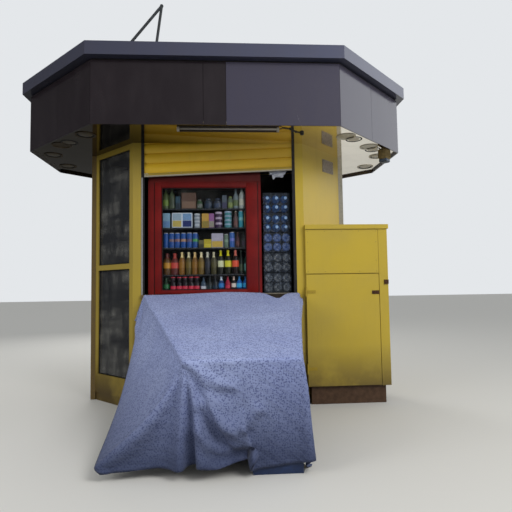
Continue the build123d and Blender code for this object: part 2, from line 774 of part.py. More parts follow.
def display_frame():
    x0, x1 = CASE_LEFT, CASE_LEFT + CASE_WIDTH
    y0 = case_front_y()
    y1 = y0 + CASE_FRAME_THICKNESS
    top = COUNTER_LEVEL + CASE_HEIGHT
    outer = slab(x0, x1, y0, y1, COUNTER_LEVEL, top)
    low = COUNTER_LEVEL + CASE_BOTTOM_RAIL
    hole = slab(x0 + CASE_LEFT_STILE, x1 - CASE_RIGHT_STILE, y0, y1, low, top - CASE_TOP_RAIL)
    return outer - hole


def display_glass():
    x0, x1 = CASE_LEFT + CASE_LEFT_STILE, CASE_LEFT + CASE_WIDTH - CASE_RIGHT_STILE
    y = case_front_y() + CASE_FRAME_THICKNESS / 2
    low = COUNTER_LEVEL + CASE_BOTTOM_RAIL
    top = COUNTER_LEVEL + CASE_HEIGHT - CASE_TOP_RAIL
    return slab(x0, x1, y - GLASS_THICKNESS / 2, y + GLASS_THICKNESS / 2, low, top)


def case_room():
    y0 = case_front_y() + CASE_FRAME_THICKNESS
    return CASE_LEFT, CASE_LEFT + CASE_WIDTH, y0, case_front_y() + CASE_DEPTH


def display_sides():
    x0, x1, y0, y1 = case_room()
    top = COUNTER_LEVEL + CASE_HEIGHT
    left = slab(x0, x0 + CASE_BOARD, y0, y1, COUNTER_LEVEL, top)
    right = slab(x1 - CASE_BOARD, x1, y0, y1, COUNTER_LEVEL, top)
    return Compound(children=[left, right])


def display_top_and_bottom():
    x0, x1, y0, y1 = case_room()
    x0 += CASE_BOARD
    x1 -= CASE_BOARD
    top = COUNTER_LEVEL + CASE_HEIGHT
    lid = slab(x0, x1, y0, y1, top - CASE_BOARD, top)
    base = slab(x0, x1, y0, y1, COUNTER_LEVEL, COUNTER_LEVEL + CASE_BOARD)
    return Compound(children=[lid, base])


def display_back():
    x0, x1, _, y1 = case_room()
    low = COUNTER_LEVEL + CASE_BOARD
    top = COUNTER_LEVEL + CASE_HEIGHT - CASE_BOARD
    return slab(x0 + CASE_BOARD, x1 - CASE_BOARD, y1 - CASE_BACK, y1, low, top)


def display_shelves():
    x0, x1, y0, y1 = case_room()
    x0 += CASE_BOARD
    x1 -= CASE_BOARD
    y1 -= CASE_BACK
    levels = (SHELF_ONE, SHELF_TWO, SHELF_THREE, SHELF_FOUR)
    return Compound(children=[slab(x0, x1, y0, y1, z - SHELF_THICKNESS, z) for z in levels])


def bottle_packs():
    """A stack that fills the bay between the case and the right shutter guide."""
    x0 = CASE_LEFT + CASE_WIDTH + PACK_CASE_GAP
    x1 = opening_half() - GUIDE_WIDTH - PACK_GUIDE_GAP
    y0 = FRONT_Y + PACK_SETBACK
    packs = []
    for index in range(PACK_COUNT):
        low = COUNTER_LEVEL + index * (PACK_HEIGHT + PACK_GAP)
        packs.append(slab(x0, x1, y0, y0 + PACK_DEPTH, low, low + PACK_HEIGHT))
    return Compound(children=packs)


# Side cabinet

def cabinet_front():
    return FRONT_Y - CABINET_FORWARD


def cabinet_right():
    return FRONT_HALF + CABINET_WIDTH


def cabinet_left():
    return FRONT_HALF + CABINET_GAP


def cabinet_outline(inset=0.0):
    """Plan of the cabinet: a box whose inner back corner is cut to the slanted wall."""
    left, right = cabinet_left(), cabinet_right()
    front, back = cabinet_front(), FRONT_Y + CABINET_DEPTH
    slope = inset * tan(radians(22.5))
    return [
        (left + inset, front + inset),
        (right - inset, front + inset),
        (right - inset, back - inset),
        (left + back - FRONT_Y + slope, back - inset),
        (left + inset, FRONT_Y + slope),
    ]


def cabinet_recess():
    """Depth that the door and the gap behind it take from the carcass."""
    return CABINET_DOOR_THICKNESS + CABINET_DOOR_GAP


def cabinet_walls():
    """Sheet carcass of two rooms, the lower one open at the front for its door."""
    shell = prism(cabinet_outline(), CABINET_BOTTOM, CABINET_TOP - CABINET_LIP)
    sheet = CABINET_SHEET
    shelf_low, shelf_high = CABINET_SEAM - sheet / 2, CABINET_SEAM + sheet / 2
    shell -= prism(cabinet_outline(sheet), CABINET_BOTTOM + sheet, shelf_low)
    shell -= prism(cabinet_outline(sheet), shelf_high, CABINET_TOP - CABINET_LIP - sheet)
    front = cabinet_front()
    depth = front + cabinet_recess()
    mouth_right = cabinet_right() - CABINET_STILE
    shell -= slab(cabinet_left(), mouth_right, front, depth, CABINET_BOTTOM, CABINET_SEAM)
    panel_back = front + CABINET_PANEL_THICKNESS
    shell -= slab(cabinet_left(), mouth_right, front, panel_back, CABINET_SEAM, CABINET_TOP - CABINET_LIP)
    return shell


def cabinet_lid():
    low = CABINET_TOP - CABINET_LIP
    proud = CABINET_LIP_PROUD
    left, right = cabinet_left(), cabinet_right() + proud
    front, back = cabinet_front() - proud, FRONT_Y + CABINET_DEPTH
    corner = left + back - FRONT_Y
    outline = [(left, front), (right, front), (right, back), (corner, back), (left, FRONT_Y)]
    return prism(outline, low, CABINET_TOP)


def cabinet_plinth():
    return prism(cabinet_outline(CABINET_PLINTH_SETBACK), 0.0, CABINET_BOTTOM)


def cabinet_door():
    x0 = cabinet_left() + CABINET_DOOR_GAP
    x1 = cabinet_right() - CABINET_STILE - CABINET_DOOR_GAP
    low, high = CABINET_BOTTOM + CABINET_DOOR_GAP, CABINET_SEAM - CABINET_DOOR_GAP
    front = cabinet_front()
    return slab(x0, x1, front, front + CABINET_DOOR_THICKNESS, low, high)


def cabinet_upper_panel():
    """Fixed panel over the door, in a shallow recess of the carcass."""
    x0 = cabinet_left() + CABINET_PANEL_GAP
    x1 = cabinet_right() - CABINET_STILE - CABINET_PANEL_GAP
    low, high = CABINET_SEAM + CABINET_PANEL_GAP, CABINET_TOP - CABINET_LIP - CABINET_PANEL_GAP
    front = cabinet_front()
    return slab(x0, x1, front, front + CABINET_PANEL_THICKNESS, low, high)


def hinge_axis():
    """Plan position of the door's hinge pins, in front of its left edge."""
    return cabinet_left(), cabinet_front() - HINGE_RADIUS


def cabinet_hinges():
    """Fixed halves: a strap on the carcass, two knuckles and the pin through them."""
    x, y = hinge_axis()
    third = HINGE_LENGTH / 3
    halves = []
    for level in (LOWER_HINGE_LEVEL, UPPER_HINGE_LEVEL):
        low = level - HINGE_LENGTH / 2
        pin = Pos(x, y, level) * Cylinder(HINGE_PIN_RADIUS, HINGE_LENGTH)
        foot = Pos(x, y, low + third / 2) * Cylinder(HINGE_RADIUS, third)
        head = Pos(x, y, low + 2.5 * third) * Cylinder(HINGE_RADIUS, third)
        back = FRONT_Y - HINGE_CLEARANCE
        strap = slab(x - HINGE_LEAF, x, y, back, low, low + HINGE_LENGTH)
        middle = Pos(x, y, level) * Cylinder(HINGE_RADIUS + KNUCKLE_GAP, third + 2 * KNUCKLE_GAP)
        halves.append((foot + head + (strap - middle)) + pin)
    return halves


def door_knuckles():
    """Moving halves: a knuckle that turns on the pin and a strap on the door's face."""
    x, y = hinge_axis()
    third = HINGE_LENGTH / 3 - KNUCKLE_GAP
    bore = HINGE_PIN_RADIUS + HINGE_CLEARANCE
    knuckles = []
    for level in (LOWER_HINGE_LEVEL, UPPER_HINGE_LEVEL):
        barrel = Pos(x, y, level) * Cylinder(HINGE_RADIUS, third)
        front = cabinet_front()
        strap = slab(x, x + HINGE_LENGTH, front - HINGE_LEAF, front, level - third / 2, level + third / 2)
        hole = Pos(x, y, level) * Cylinder(bore, HINGE_LENGTH)
        knuckles.append(barrel + strap - hole)
    return knuckles


def door_hasp():
    """Rusty hasp that lies across the gap between the door and the right stile."""
    x1 = cabinet_right() - CABINET_STILE - CABINET_DOOR_GAP
    front = cabinet_front()
    z0, z1 = HASP_LEVEL - HASP_WIDTH / 2, HASP_LEVEL + HASP_WIDTH / 2
    return slab(x1 - HASP_LENGTH, x1, front - HASP_THICKNESS, front, z0, z1)


def stile_lock():
    """Small lock body on the cabinet's right stile."""
    x1 = cabinet_right()
    front = cabinet_front()
    z0, z1 = LOCK_LEVEL - LOCK_SIZE / 2, LOCK_LEVEL + LOCK_SIZE / 2
    return slab(x1 - LOCK_SIZE, x1, front - LOCK_SIZE / 3, front, z0, z1)


# Fittings

def tube_light():
    """A batten light under the front eave, lying against the soffit."""
    x, y = TUBE_LIGHT_X, TUBE_LIGHT_Y
    z1 = SOFFIT_LEVEL
    z0 = z1 - TUBE_LIGHT_HEIGHT
    half = TUBE_LIGHT_WIDTH / 2
    return slab(x - TUBE_LIGHT_LENGTH / 2, x + TUBE_LIGHT_LENGTH / 2, y - half, y + half, z0, z1)


def corner_lamp():
    """A small flood lamp under the outer corner of the right slanted soffit."""
    length = face_frame(RIGHT_FRONT, FASCIA_OVERHANG)[3]
    end = length - LAMP_FROM_CORNER
    near, far = LAMP_FROM_EDGE - LAMP_DEPTH / 2, LAMP_FROM_EDGE + LAMP_DEPTH / 2
    plan = face_points(RIGHT_FRONT, end - LAMP_WIDTH / 2, end + LAMP_WIDTH / 2, -near, far, FASCIA_OVERHANG)
    return prism(plan, SOFFIT_LEVEL - LAMP_HEIGHT, SOFFIT_LEVEL)


def wall_plate():
    a, b = PLATE_FROM_CORNER, PLATE_FROM_CORNER + PLATE_WIDTH
    return face_slab(RIGHT_FRONT, a, b, PLATE_LEVEL, PLATE_LEVEL + PLATE_HEIGHT, PLATE_THICKNESS, 0.0)


def rod(start, end, radius):
    line = Line(start, end)
    return sweep(Plane(origin=start, z_dir=Vector(*end) - Vector(*start)) * Circle(radius), path=line)


def roof_mast():
    """A leaning tube and its longer strut, each on a small foot plate."""
    top = (-MAST_TOP_LEFT, MAST_Y, MAST_TOP_LEVEL)
    shape = Pos(*top) * Sphere(MAST_RADIUS * 1.3)
    for x in (-MAST_BASE_LEFT, -STRUT_BASE_LEFT):
        shape += rod((x, MAST_Y, COPING_BOTTOM - MAST_RADIUS), top, MAST_RADIUS)
        plate = Pos(x, MAST_Y, COPING_BOTTOM + MAST_FLANGE_THICKNESS / 2)
        shape += plate * Cylinder(MAST_FLANGE, MAST_FLANGE_THICKNESS)
    return shape - slab(-HALF_W, HALF_W, -HALF_D * 2, 0, SOFFIT_LEVEL, COPING_BOTTOM)


# Covered stand

def stand_back():
    return FRONT_Y - COUNTER_NOSE - STAND_BACK_GAP


def stand():
    """A wedge-topped trading stand, wider at the counter than at its front."""
    back = stand_back()
    plan = [
        (STAND_BACK_LEFT, back),
        (STAND_BACK_RIGHT, back),
        (STAND_FRONT_RIGHT, STAND_FRONT_Y),
        (STAND_FRONT_LEFT, STAND_FRONT_Y),
    ]
    block = prism(plan, STAND_FOOT_HEIGHT, STAND_BACK_LEVEL)
    cut = Polyline(
        (0, back, STAND_BACK_LEVEL),
        (0, STAND_FRONT_Y, STAND_FRONT_LEVEL),
        (0, STAND_FRONT_Y, STAND_BACK_LEVEL),
        close=True,
    )
    return block - extrude(make_face(cut), amount=BODY_WIDTH, dir=(1, 0, 0), both=True)


def stand_feet():
    """Low blocks under the stand: one at the front right, and two at the back."""
    front = STAND_FRONT_Y
    back = stand_back()
    depth = STAND_FOOT_DEPTH
    foot_left = STAND_FRONT_RIGHT - STAND_FOOT_WIDTH
    right = slab(foot_left, STAND_FRONT_RIGHT, front, front + depth, 0.0, STAND_FOOT_HEIGHT)
    x0 = STAND_BACK_LEFT + depth / 2
    rear_left = slab(x0, x0 + depth, back - depth, back, 0.0, STAND_FOOT_HEIGHT)
    x1 = STAND_BACK_RIGHT - depth / 2
    rear_right = slab(x1 - depth, x1, back - depth, back, 0.0, STAND_FOOT_HEIGHT)
    return Compound(children=[right, rear_left, rear_right])


def cloth_front_y(level):
    """Front of the hanging cloth, which leans out towards its hem."""
    return STAND_FRONT_Y - CLOTH_HEM_SPREAD * (STAND_FRONT_LEVEL - level) / STAND_FRONT_LEVEL


def stand_cloth():
    """The sheet over the stand: a sloping top, two slanting sides and a hanging front."""
    back = stand_back()
    a = (STAND_BACK_LEFT, back, STAND_BACK_LEVEL)
    b = (STAND_BACK_RIGHT, back, STAND_BACK_LEVEL)
    c = (STAND_FRONT_RIGHT, STAND_FRONT_Y, STAND_FRONT_LEVEL)
    d = (STAND_FRONT_LEFT, STAND_FRONT_Y, STAND_FRONT_LEVEL)
    e = (CLOTH_LEFT_CORNER, cloth_front_y(CLOTH_LEFT_HEM_LEVEL), CLOTH_LEFT_HEM_LEVEL)
    g = (CLOTH_RIGHT_CORNER, cloth_front_y(CLOTH_RIGHT_HEM_LEVEL), CLOTH_RIGHT_HEM_LEVEL)
    lift = Pos(0, -CLOTH_GAP, CLOTH_GAP)
    pieces = []
    for spots in ((a, b, c, d), (a, d, e), (b, c, g), (d, c, g, e)):
        face = make_face(Polyline(*spots, close=True))
        pieces.append(lift * extrude(face, amount=CLOTH_THICKNESS * sqrt(2), dir=(0, -1, 1)))
    sheet = pieces[0]
    for piece in pieces[1:]:
        sheet += piece
    return sheet


NODES = {
    "base_frame": base_frame,
    "floor_plate": floor_plate,
    "front_left_post": lambda: front_post(0),
    "front_right_post": lambda: front_post(1),
    "corner_posts": lambda: plain_posts((2, 3, 4, 5, 6, 7)),
    "uprights": uprights,
    "front_lower_wall": front_lower_wall,
    "counter": counter,
    "left_window_frame": left_window_frame,
    "left_window_glass": left_window_glass,
    "left_kick_panel": left_kick_panel,
    "right_front_wall": right_front_wall,
    "end_walls": lambda: Compound(children=[plain_wall(LEFT), plain_wall(RIGHT)]),
    "rear_corner_walls": lambda: Compound(children=[plain_wall(LEFT_REAR), plain_wall(RIGHT_REAR)]),
    "rear_wall": rear_wall,
    "rear_door_frame": rear_door_frame,
    "rear_door": rear_door,
    "rear_door_fittings": rear_door_fittings,
    "soffit_panel": soffit_panel,
    "soffit_lights": soffit_lights,
    "roof_ring": roof_ring,
    "roof_deck": roof_deck,
    "coping": coping,
    "front_fascia": lambda: Compound(children=fascia(FRONT, front_seams())),
    "left_front_fascia": lambda: Compound(children=fascia(LEFT_FRONT, half_seam(LEFT_FRONT))),
    "right_front_fascia": lambda: Compound(children=fascia(RIGHT_FRONT, half_seam(RIGHT_FRONT))),
    "end_fascias": lambda: Compound(children=fascia(LEFT) + fascia(RIGHT)),
    "rear_fascias": rear_fascias,
    "shutter_curtain": shutter_curtain,
    "shutter_bottom_rail": shutter_bottom_rail,
    "shutter_guides": shutter_guides,
    "shutter_coil": shutter_coil,
    "coil_barrel": coil_barrel,
    "coil_brackets": coil_brackets,
    "display_frame": display_frame,
    "display_glass": display_glass,
    "display_sides": display_sides,
    "display_top_and_bottom": display_top_and_bottom,
    "display_back": display_back,
    "display_shelves": display_shelves,
    "bottle_packs": bottle_packs,
    "cabinet_walls": cabinet_walls,
    "cabinet_upper_panel": cabinet_upper_panel,
    "cabinet_lid": cabinet_lid,
    "cabinet_plinth": cabinet_plinth,
    "cabinet_door": cabinet_door,
    "cabinet_ironwork": lambda: Compound(children=cabinet_hinges() + [stile_lock()]),
    "cabinet_door_ironwork": lambda: Compound(children=door_knuckles() + [door_hasp()]),
    "tube_light": tube_light,
    "corner_lamp": corner_lamp,
    "wall_plate": wall_plate,
    "roof_mast": roof_mast,
    "stand": stand,
    "stand_feet": stand_feet,
    "stand_cloth": stand_cloth,
}

for node, build in NODES.items():
    save(node, build())
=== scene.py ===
import json
import math
from functools import partial
import bmesh
import bpy
import numpy as np
from bpy.props import FloatProperty, FloatVectorProperty, IntProperty, PointerProperty
from bpy.types import Operator, Panel, PropertyGroup
from mathutils import Matrix, Vector


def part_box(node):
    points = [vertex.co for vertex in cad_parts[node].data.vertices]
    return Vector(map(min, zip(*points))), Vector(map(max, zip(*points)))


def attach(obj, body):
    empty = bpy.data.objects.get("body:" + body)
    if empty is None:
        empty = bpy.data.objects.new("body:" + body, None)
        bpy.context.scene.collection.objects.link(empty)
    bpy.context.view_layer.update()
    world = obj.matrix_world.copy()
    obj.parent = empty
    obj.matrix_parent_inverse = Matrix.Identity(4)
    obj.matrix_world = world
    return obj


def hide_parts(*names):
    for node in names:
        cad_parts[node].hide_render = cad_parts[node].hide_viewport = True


bl_info = {
    "name": "Street kiosk",
    "version": (1, 0, 0),
    "blender": (4, 5, 0),
    "location": "3D View > Sidebar > Kiosk",
    "description": "Finishes, stock, cloth and stage for a street kiosk built on its packed frame",
    "category": "Object",
}

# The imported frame: metres, +Z up, the serving front faces -Y
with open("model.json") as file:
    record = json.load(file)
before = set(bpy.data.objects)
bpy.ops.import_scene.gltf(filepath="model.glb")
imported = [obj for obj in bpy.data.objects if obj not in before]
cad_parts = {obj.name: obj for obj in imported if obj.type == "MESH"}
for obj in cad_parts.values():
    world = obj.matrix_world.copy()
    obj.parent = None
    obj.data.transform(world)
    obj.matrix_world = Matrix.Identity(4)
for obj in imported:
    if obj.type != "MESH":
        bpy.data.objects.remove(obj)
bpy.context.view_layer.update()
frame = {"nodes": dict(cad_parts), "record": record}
NODES = frame["nodes"]


# Colours and shader nodes

def linear(colour):
    """An sRGB hex colour as linear red, green, blue and alpha."""
    channels = [int(colour[i:i + 2], 16) / 255 for i in (1, 3, 5)]
    curve = [c / 12.92 if c <= 0.04045 else ((c + 0.055) / 1.055) ** 2.4 for c in channels]
    return (*curve, 1.0)


# The nodes in use by a short name: kind, what is preset, sockets in order and output. A socket
# called size takes the size of the pattern in metres.
KINDS = {
    "place": ("TexCoord", {}, (), "Object"),
    "direction": ("TexCoord", {}, (), "Generated"),
    "flat": ("UVMap", {"uv_map": "flat"}, (), 0),
    "tint": ("Attribute", {"attribute_name": "tint"}, (), "Color"),
    "camera_ray": ("LightPath", {}, (), "Is Camera Ray"),
    "transmission_ray": ("LightPath", {}, (), "Is Transmission Ray"),
    "glossy_ray": ("LightPath", {}, (), "Is Glossy Ray"),
    "diffuse_ray": ("LightPath", {}, (), "Is Diffuse Ray"),
    "stretch": ("Mapping", {}, ("Vector", "Scale", "Rotation"), 0),
    "x": ("SeparateXYZ", {}, (0,), "X"),
    "y": ("SeparateXYZ", {}, (0,), "Y"),
    "z": ("SeparateXYZ", {}, (0,), "Z"),
    "noise": ("TexNoise", {"Detail": 4.0, "Roughness": 0.55},
              ("Vector", "size", "Detail", "Roughness"), "Fac"),
    "cells": ("TexVoronoi", {}, ("Vector", "size", "Randomness"), "Distance"),
    "grains": ("TexVoronoi", {}, ("Vector", "size"), "Color"),
    "wave": ("TexWave", {}, ("Vector", "size"), "Fac"),
    "grey": ("RGBToBW", {}, (0,), 0),
    "ramp": ("MapRange", {}, ("Value", "From Min", "From Max", "To Min", "To Max"), 0),
    "mix": ("Mix", {"data_type": "RGBA"}, (0, 6, 7), 2),
    "times": ("Math", {"operation": "MULTIPLY"}, (0, 1), 0),
    "plus": ("Math", {"operation": "ADD"}, (0, 1), 0),
    "minus": ("Math", {"operation": "SUBTRACT"}, (0, 1), 0),
    "most": ("Math", {"operation": "MAXIMUM"}, (0, 1), 0),
    "unsigned": ("Math", {"operation": "ABSOLUTE"}, (0,), 0),
    "bump": ("Bump", {}, ("Height", "Distance", "Strength"), 0),
    "shader": ("BsdfPrincipled", {}, (), 0),
    "glow": ("Background", {}, ("Color", "Strength"), 0),
    "mix_shaders": ("MixShader", {}, (0, 1, 2), 0),
    "surface": ("OutputMaterial", {}, ("Surface",), None),
    "world": ("OutputWorld", {}, ("Surface",), None),
}


def add(tree, name, *inputs, **more):
    """Adds a node by its short name and returns its output. The inputs fill its sockets in
    order, with values or links, and each further value goes to the socket of that name, or
    else to the node's setting."""
    kind, preset, sockets, output = KINDS[name]
    made = tree.nodes.new("ShaderNode" + kind)
    for key, value in (*preset.items(), *zip(sockets, inputs), *more.items()):
        if key == "size":
            key, value = "Scale", 1.0 / value
        if isinstance(value, str) and value.startswith("#"):
            value = linear(value)
        socket = made.inputs[key] if isinstance(key, int) else made.inputs.get(key.replace("_", " "))
        if socket is None:
            setattr(made, key, value)
        elif isinstance(value, bpy.types.NodeSocket):
            tree.links.new(value, socket)
        else:
            socket.default_value = value
    return None if output is None else made.outputs[output]


class Nodes:
    """Adds nodes to a tree, each by calling its short name."""

    def __init__(self, tree):
        self.tree = tree

    def __getattr__(self, name):
        return partial(add, self.tree, name)


def material(name, finish, *values):
    """A material around one Principled shader, whose sockets are what the finish returns for
    the tree's Nodes, the surface's own position in metres and the values."""
    made = bpy.data.materials.new(name)
    made.use_nodes = True
    made.node_tree.nodes.clear()
    node = Nodes(made.node_tree)
    node.surface(node.shader(**finish(node, node.place(), *values)))
    return made


# Finishes. Noise gives clouds, a ramp carries a range onto another and holds it at its ends.

def left_painted_shade(node, place, left, right):
    """A colour that goes from a dark tone at the kiosk's left to a pale one at the right: painted shade, and
    on mirrors a painted reflection.
    """
    return node.mix(node.ramp(node.x(place), -0.9, 1.0), left, right)


# How far from the middle the body's inner faces start: its ends, front and rear, slants, soffit,
# and how soft the limit is
INNER_FACES = (1.243, 0.608, 1.423, 2.455)
SOFT_LIMIT = 0.002
# Where the front fascia passes from one sheet to the next, along X
PANEL_JOINT = (0.0730, 0.0740)
SHUTTER_TILT = math.radians(2.8)


def indoors(node, place):
    """One for a surface within the body's inner faces, nought outside them."""
    across, deep = node.unsigned(node.x(place)), node.unsigned(node.y(place))
    share = 1.0
    for reach, limit in zip((across, deep, node.plus(across, deep), node.z(place)), INNER_FACES):
        share = node.times(share, node.ramp(reach, limit, limit + SOFT_LIMIT, 1.0, 0.0))
    return share


def enamelled_steel(node, place, colour, faded, left_shade_tone="#8A7638"):
    """Sheet steel rolled with enamel: an even coat with a fine orange-peel skin, faded in
    clouds, with thin dust runs and small chips down to brown rust. Painted shade darkens it
    towards the kiosk's left end and inside the body, and deepens the grime in patches at its foot."""
    clouds = node.noise(place, 0.55)
    coat = node.mix(node.ramp(clouds, 0.35, 0.75), colour, faded)
    # Painted shade: towards the kiosk's left end the coat turns halfway to the darker left tone
    coat = node.mix(node.ramp(node.x(place), 0.2, -0.9, 0.0, 0.5), coat, left_shade_tone)
    runs = node.noise(node.stretch(place, (1.0, 1.0, 0.06)), 0.022, 3.0)
    dusty = node.times(node.ramp(runs, 0.56, 0.9), node.ramp(clouds, 0.3, 0.7, 0.02, 0.22))
    coat = node.mix(dusty, coat, "#6E5A33")
    # Darker towards the foot in patches: grime there, deepened as painted shade
    low = node.ramp(node.z(place), 0.54, 0.10)
    foot = node.times(low, node.ramp(node.noise(place, 0.3), 0.1, 0.5))
    coat = node.mix(node.times(foot, 0.88), coat, "#45341A")
    chips = node.ramp(node.noise(place, 0.018, 6.0, 0.7), 0.715, 0.735)
    chipped = node.times(chips, node.ramp(node.noise(place, 0.4), 0.55, 0.62))
    coat = node.mix(chipped, coat, "#5A3520")
    # Painted shade: faces within the body's inner faces are darkened
    coat = node.mix(indoors(node, place), coat, "#2A2620")
    skin = node.times(node.noise(place, 0.0035, 2.0), 0.06)
    relief = node.plus(skin, node.noise(place, 0.35, 1.0))
    return dict(Base_Color=coat, Roughness=node.ramp(dusty, 0.0, 0.5, 0.38, 0.62),
                Normal=node.bump(relief, 0.004, 0.35))


def composite_panel(node, place, colour, second, joint):
    """Aluminium composite panel with a gloss coat: flat, mirror-like at a glance, a little
    wavy between its fixings, with pale dust in cloudy streaks. It passes from its first to
    its second, paler tone between the two places of joint: this change is painted light, a painted reflection
    on the fascia and painted shade on the coping."""
    dust = node.ramp(node.noise(node.stretch(place, (1.0, 1.0, 0.35)), 0.16, 5.0), 0.42, 0.8)
    # Painted light: the tone changes along X between the two places of joint
    coat = node.mix(node.ramp(node.x(place), *joint), colour, second)
    return dict(Base_Color=node.mix(node.times(dust, 0.16), coat, "#4A4346"),
                Roughness=node.ramp(dust, 0.0, 1.0, 0.14, 0.30), Specular_IOR_Level=0.6,
                Normal=node.bump(node.noise(place, 0.9, 1.0), 0.02, 0.25))


def mirror_soffit(node, place):
    """Polished champagne composite panel: a coated metal that mirrors the walls below,
    with a painted reflection that darkens it towards its left end, and a faint dust veil that softens the
    mirror."""
    veil = node.ramp(node.noise(place, 0.12, 5.0), 0.4, 0.85)
    # Painted reflection: the coat is dark at the left end and pale at the right
    coat = node.mix(node.times(veil, 0.15), left_painted_shade(node, place, "#4A3D28", "#FFF8EA"), "#8E836C")
    return dict(Base_Color=coat, Roughness=node.ramp(veil, 0.0, 1.0, 0.05, 0.16), Metallic=1.0,
                Normal=node.bump(node.noise(place, 0.5, 1.0), 0.012, 0.2))


def galvanised_steel(node, place, left_shade_tone="#9C8250"):
    """Hot-dip galvanised steel: dull zinc with a spangle of crystals about 12 mm across and
    white bloom in patches, darkened towards the kiosk's left end as painted shade."""
    grey = node.grey(node.grains(place, 0.012))
    # Painted shade: zinc and bloom darken towards the kiosk's left end
    zinc = node.mix(node.times(grey, 0.3), left_painted_shade(node, place, left_shade_tone, "#B9B4A6"), "#75736E")
    bloom = node.times(node.ramp(node.noise(place, 0.2, 5.0), 0.5, 0.8), 0.4)
    return dict(Base_Color=node.mix(bloom, zinc, left_painted_shade(node, place, left_shade_tone, "#CBC6B8")), Metallic=0.75,
                Roughness=node.ramp(grey, 0.0, 1.0, 0.38, 0.62), Normal=node.bump(grey, 0.0002, 0.3))


def worn_aluminium(node, place):
    """Extruded aluminium under yellow paint, which is left above a level that slants with the
    shutter and is chipped towards its left end. Below, pale bare metal with fine lines."""
    across = node.x(place)
    level = node.minus(node.z(place), node.times(across, math.tan(SHUTTER_TILT)))
    ends = node.ramp(across, -0.70, -0.62, 0.22, 0.0)
    chips = node.minus(node.noise(place, 0.03, 6.0, 0.65), ends)
    left = node.times(node.ramp(level, 2.180, 2.186), node.ramp(chips, 0.33, 0.38))
    lines = node.noise(node.stretch(place, (0.03, 1.0, 1.0)), 0.002, 2.0)
    return dict(Base_Color=node.mix(left, node.mix(lines, "#B4AD95", "#CFC8B2"), "#B79C3C"),
                Roughness=node.ramp(left, 0.0, 1.0, 0.42, 0.5), Metallic=0.35,
                Normal=node.bump(lines, 0.0003, 0.4))


def dusty_glass(node, place, body, clean, dust_share):
    """Float glass that has not been washed: clear, with a pale film of dust in wiped arcs
    and dried runs. Kept see-through by its alpha, so light still gets in."""
    film = node.ramp(node.noise(node.stretch(place, (1.0, 1.0, 0.3)), 0.09, 6.0), 0.35, 0.85)
    smears = node.ramp(node.noise(node.stretch(place, (0.5, 0.5, 2.4)), 0.3, 3.0), 0.4, 0.75)
    veil = node.times(film, smears)
    return dict(Base_Color=node.mix(veil, body, "#9C9A92"),
                Alpha=node.ramp(veil, 0.0, 0.6, clean, clean + dust_share),
                Roughness=node.ramp(veil, 0.0, 0.6, 0.03, 0.35))


def printed_cotton(node, place, ground, second, specks):
    """Thin cotton bed sheet, plain weave, with an all-over print of small dark blue specks
    about 11 mm apart on pale lavender, darkened towards the hem as painted shade, with soft creases
    pulled slantwise. The weave is drawn coarser than real, so that it shows."""
    flat = node.flat()
    away = node.ramp(node.cells(flat, 0.0112, 0.8), 0.34, 0.48, 1.0, 0.0)
    marks = node.times(away, node.ramp(node.noise(flat, 0.010, 2.0), 0.20, 0.34))
    dots = node.ramp(node.cells(flat, 0.0063, 1.0), 0.16, 0.24, 0.55, 0.0)
    cloth = node.mix(node.ramp(node.noise(flat, 0.5, 2.0), 0.3, 0.7), ground, second)
    cloth = node.mix(dots, cloth, "#5C6898")
    cloth = node.mix(node.times(marks, 0.64), cloth, specks)
    # Painted shade: the sheet darkens from about 0.66 m high down to the hem
    cloth = node.mix(node.ramp(node.z(place), 0.66, 0.10, 0.0, 0.86), cloth, "#303852")
    weave = node.plus(*(node.wave(flat, 0.05, bands_direction=axis) for axis in "XY"))
    slant = node.stretch(flat, (4.5, 1.0, 1.0), (0.0, 0.0, math.radians(32)), vector_type="TEXTURE")
    relief = node.plus(weave, node.times(node.noise(slant, 0.05, 2.0), 26.0))
    return dict(Base_Color=cloth, Normal=node.bump(relief, 0.0006, 0.6), Roughness=0.9,
                Sheen_Weight=0.08, Sheen_Roughness=0.5, Specular_IOR_Level=0.2)


def tinted_plastic(node, place, roughness=0.28, coat=0.25):
    """Moulded plastic, lacquered tin or printed card of the stock: each piece's colour comes
    from its tint attribute, with a slight mottling and a clear gloss over it."""
    tint = node.tint()
    mottled = node.times(node.ramp(node.noise(place, 0.02, 3.0), 0.35, 0.8), 0.5)
    return dict(Base_Color=node.mix(mottled, tint, node.mix(0.35, tint, "#000000")),
                Normal=node.bump(node.noise(place, 0.004, 2.0), 0.0004, 0.3),
                Roughness=roughness, Coat_Weight=coat)


def rusty_steel(node, place):
    """Mild steel ironwork: the straps at the door's hinge side are painted over in yellow,
    the rest is brown rust in layers with a few rubbed spots that still shine."""
    layers = node.noise(place, 0.012, 6.0, 0.7)
    rust = node.mix(node.ramp(layers, 0.3, 0.7), "#2C1C14", "#5C3A26")
    bare = node.mix(node.ramp(layers, 0.68, 0.72), rust, "#8C867E")
    painted = node.mix(node.ramp(layers, 0.60, 0.66), "#AE9435", "#6B4A22")
    return dict(Base_Color=node.mix(node.ramp(node.x(place), 1.0, 1.1), painted, bare),
                Roughness=node.ramp(layers, 0.3, 0.8, 0.9, 0.6), Metallic=0.2,
                Normal=node.bump(layers, 0.0012, 0.7))


def plain_coat(node, place, colour, second, size, roughness, metallic=0.0):
    """A matt or satin coat on board, steel or plastic whose colour drifts between two tones
    in patches of the given size, with a shallow relief of the same grain."""
    patches = node.noise(place, size, 5.0, 0.6)
    return dict(Base_Color=node.mix(node.ramp(patches, 0.3, 0.7), colour, second), Metallic=metallic,
                Roughness=node.ramp(patches, 0.3, 0.7, roughness, roughness + 0.15),
                Normal=node.bump(patches, 0.0008, 0.5))


def timber_board(node, place):
    """Rough softwood board, damp and nearly black with age: grain lines 4 mm apart along X."""
    grain = node.noise(node.stretch(place, (0.04, 1.0, 1.0)), 0.004, 4.0)
    return dict(Base_Color=node.mix(node.ramp(grain, 0.3, 0.7), "#241D17", "#3A3026"),
                Normal=node.bump(grain, 0.001, 0.6), Roughness=0.8)


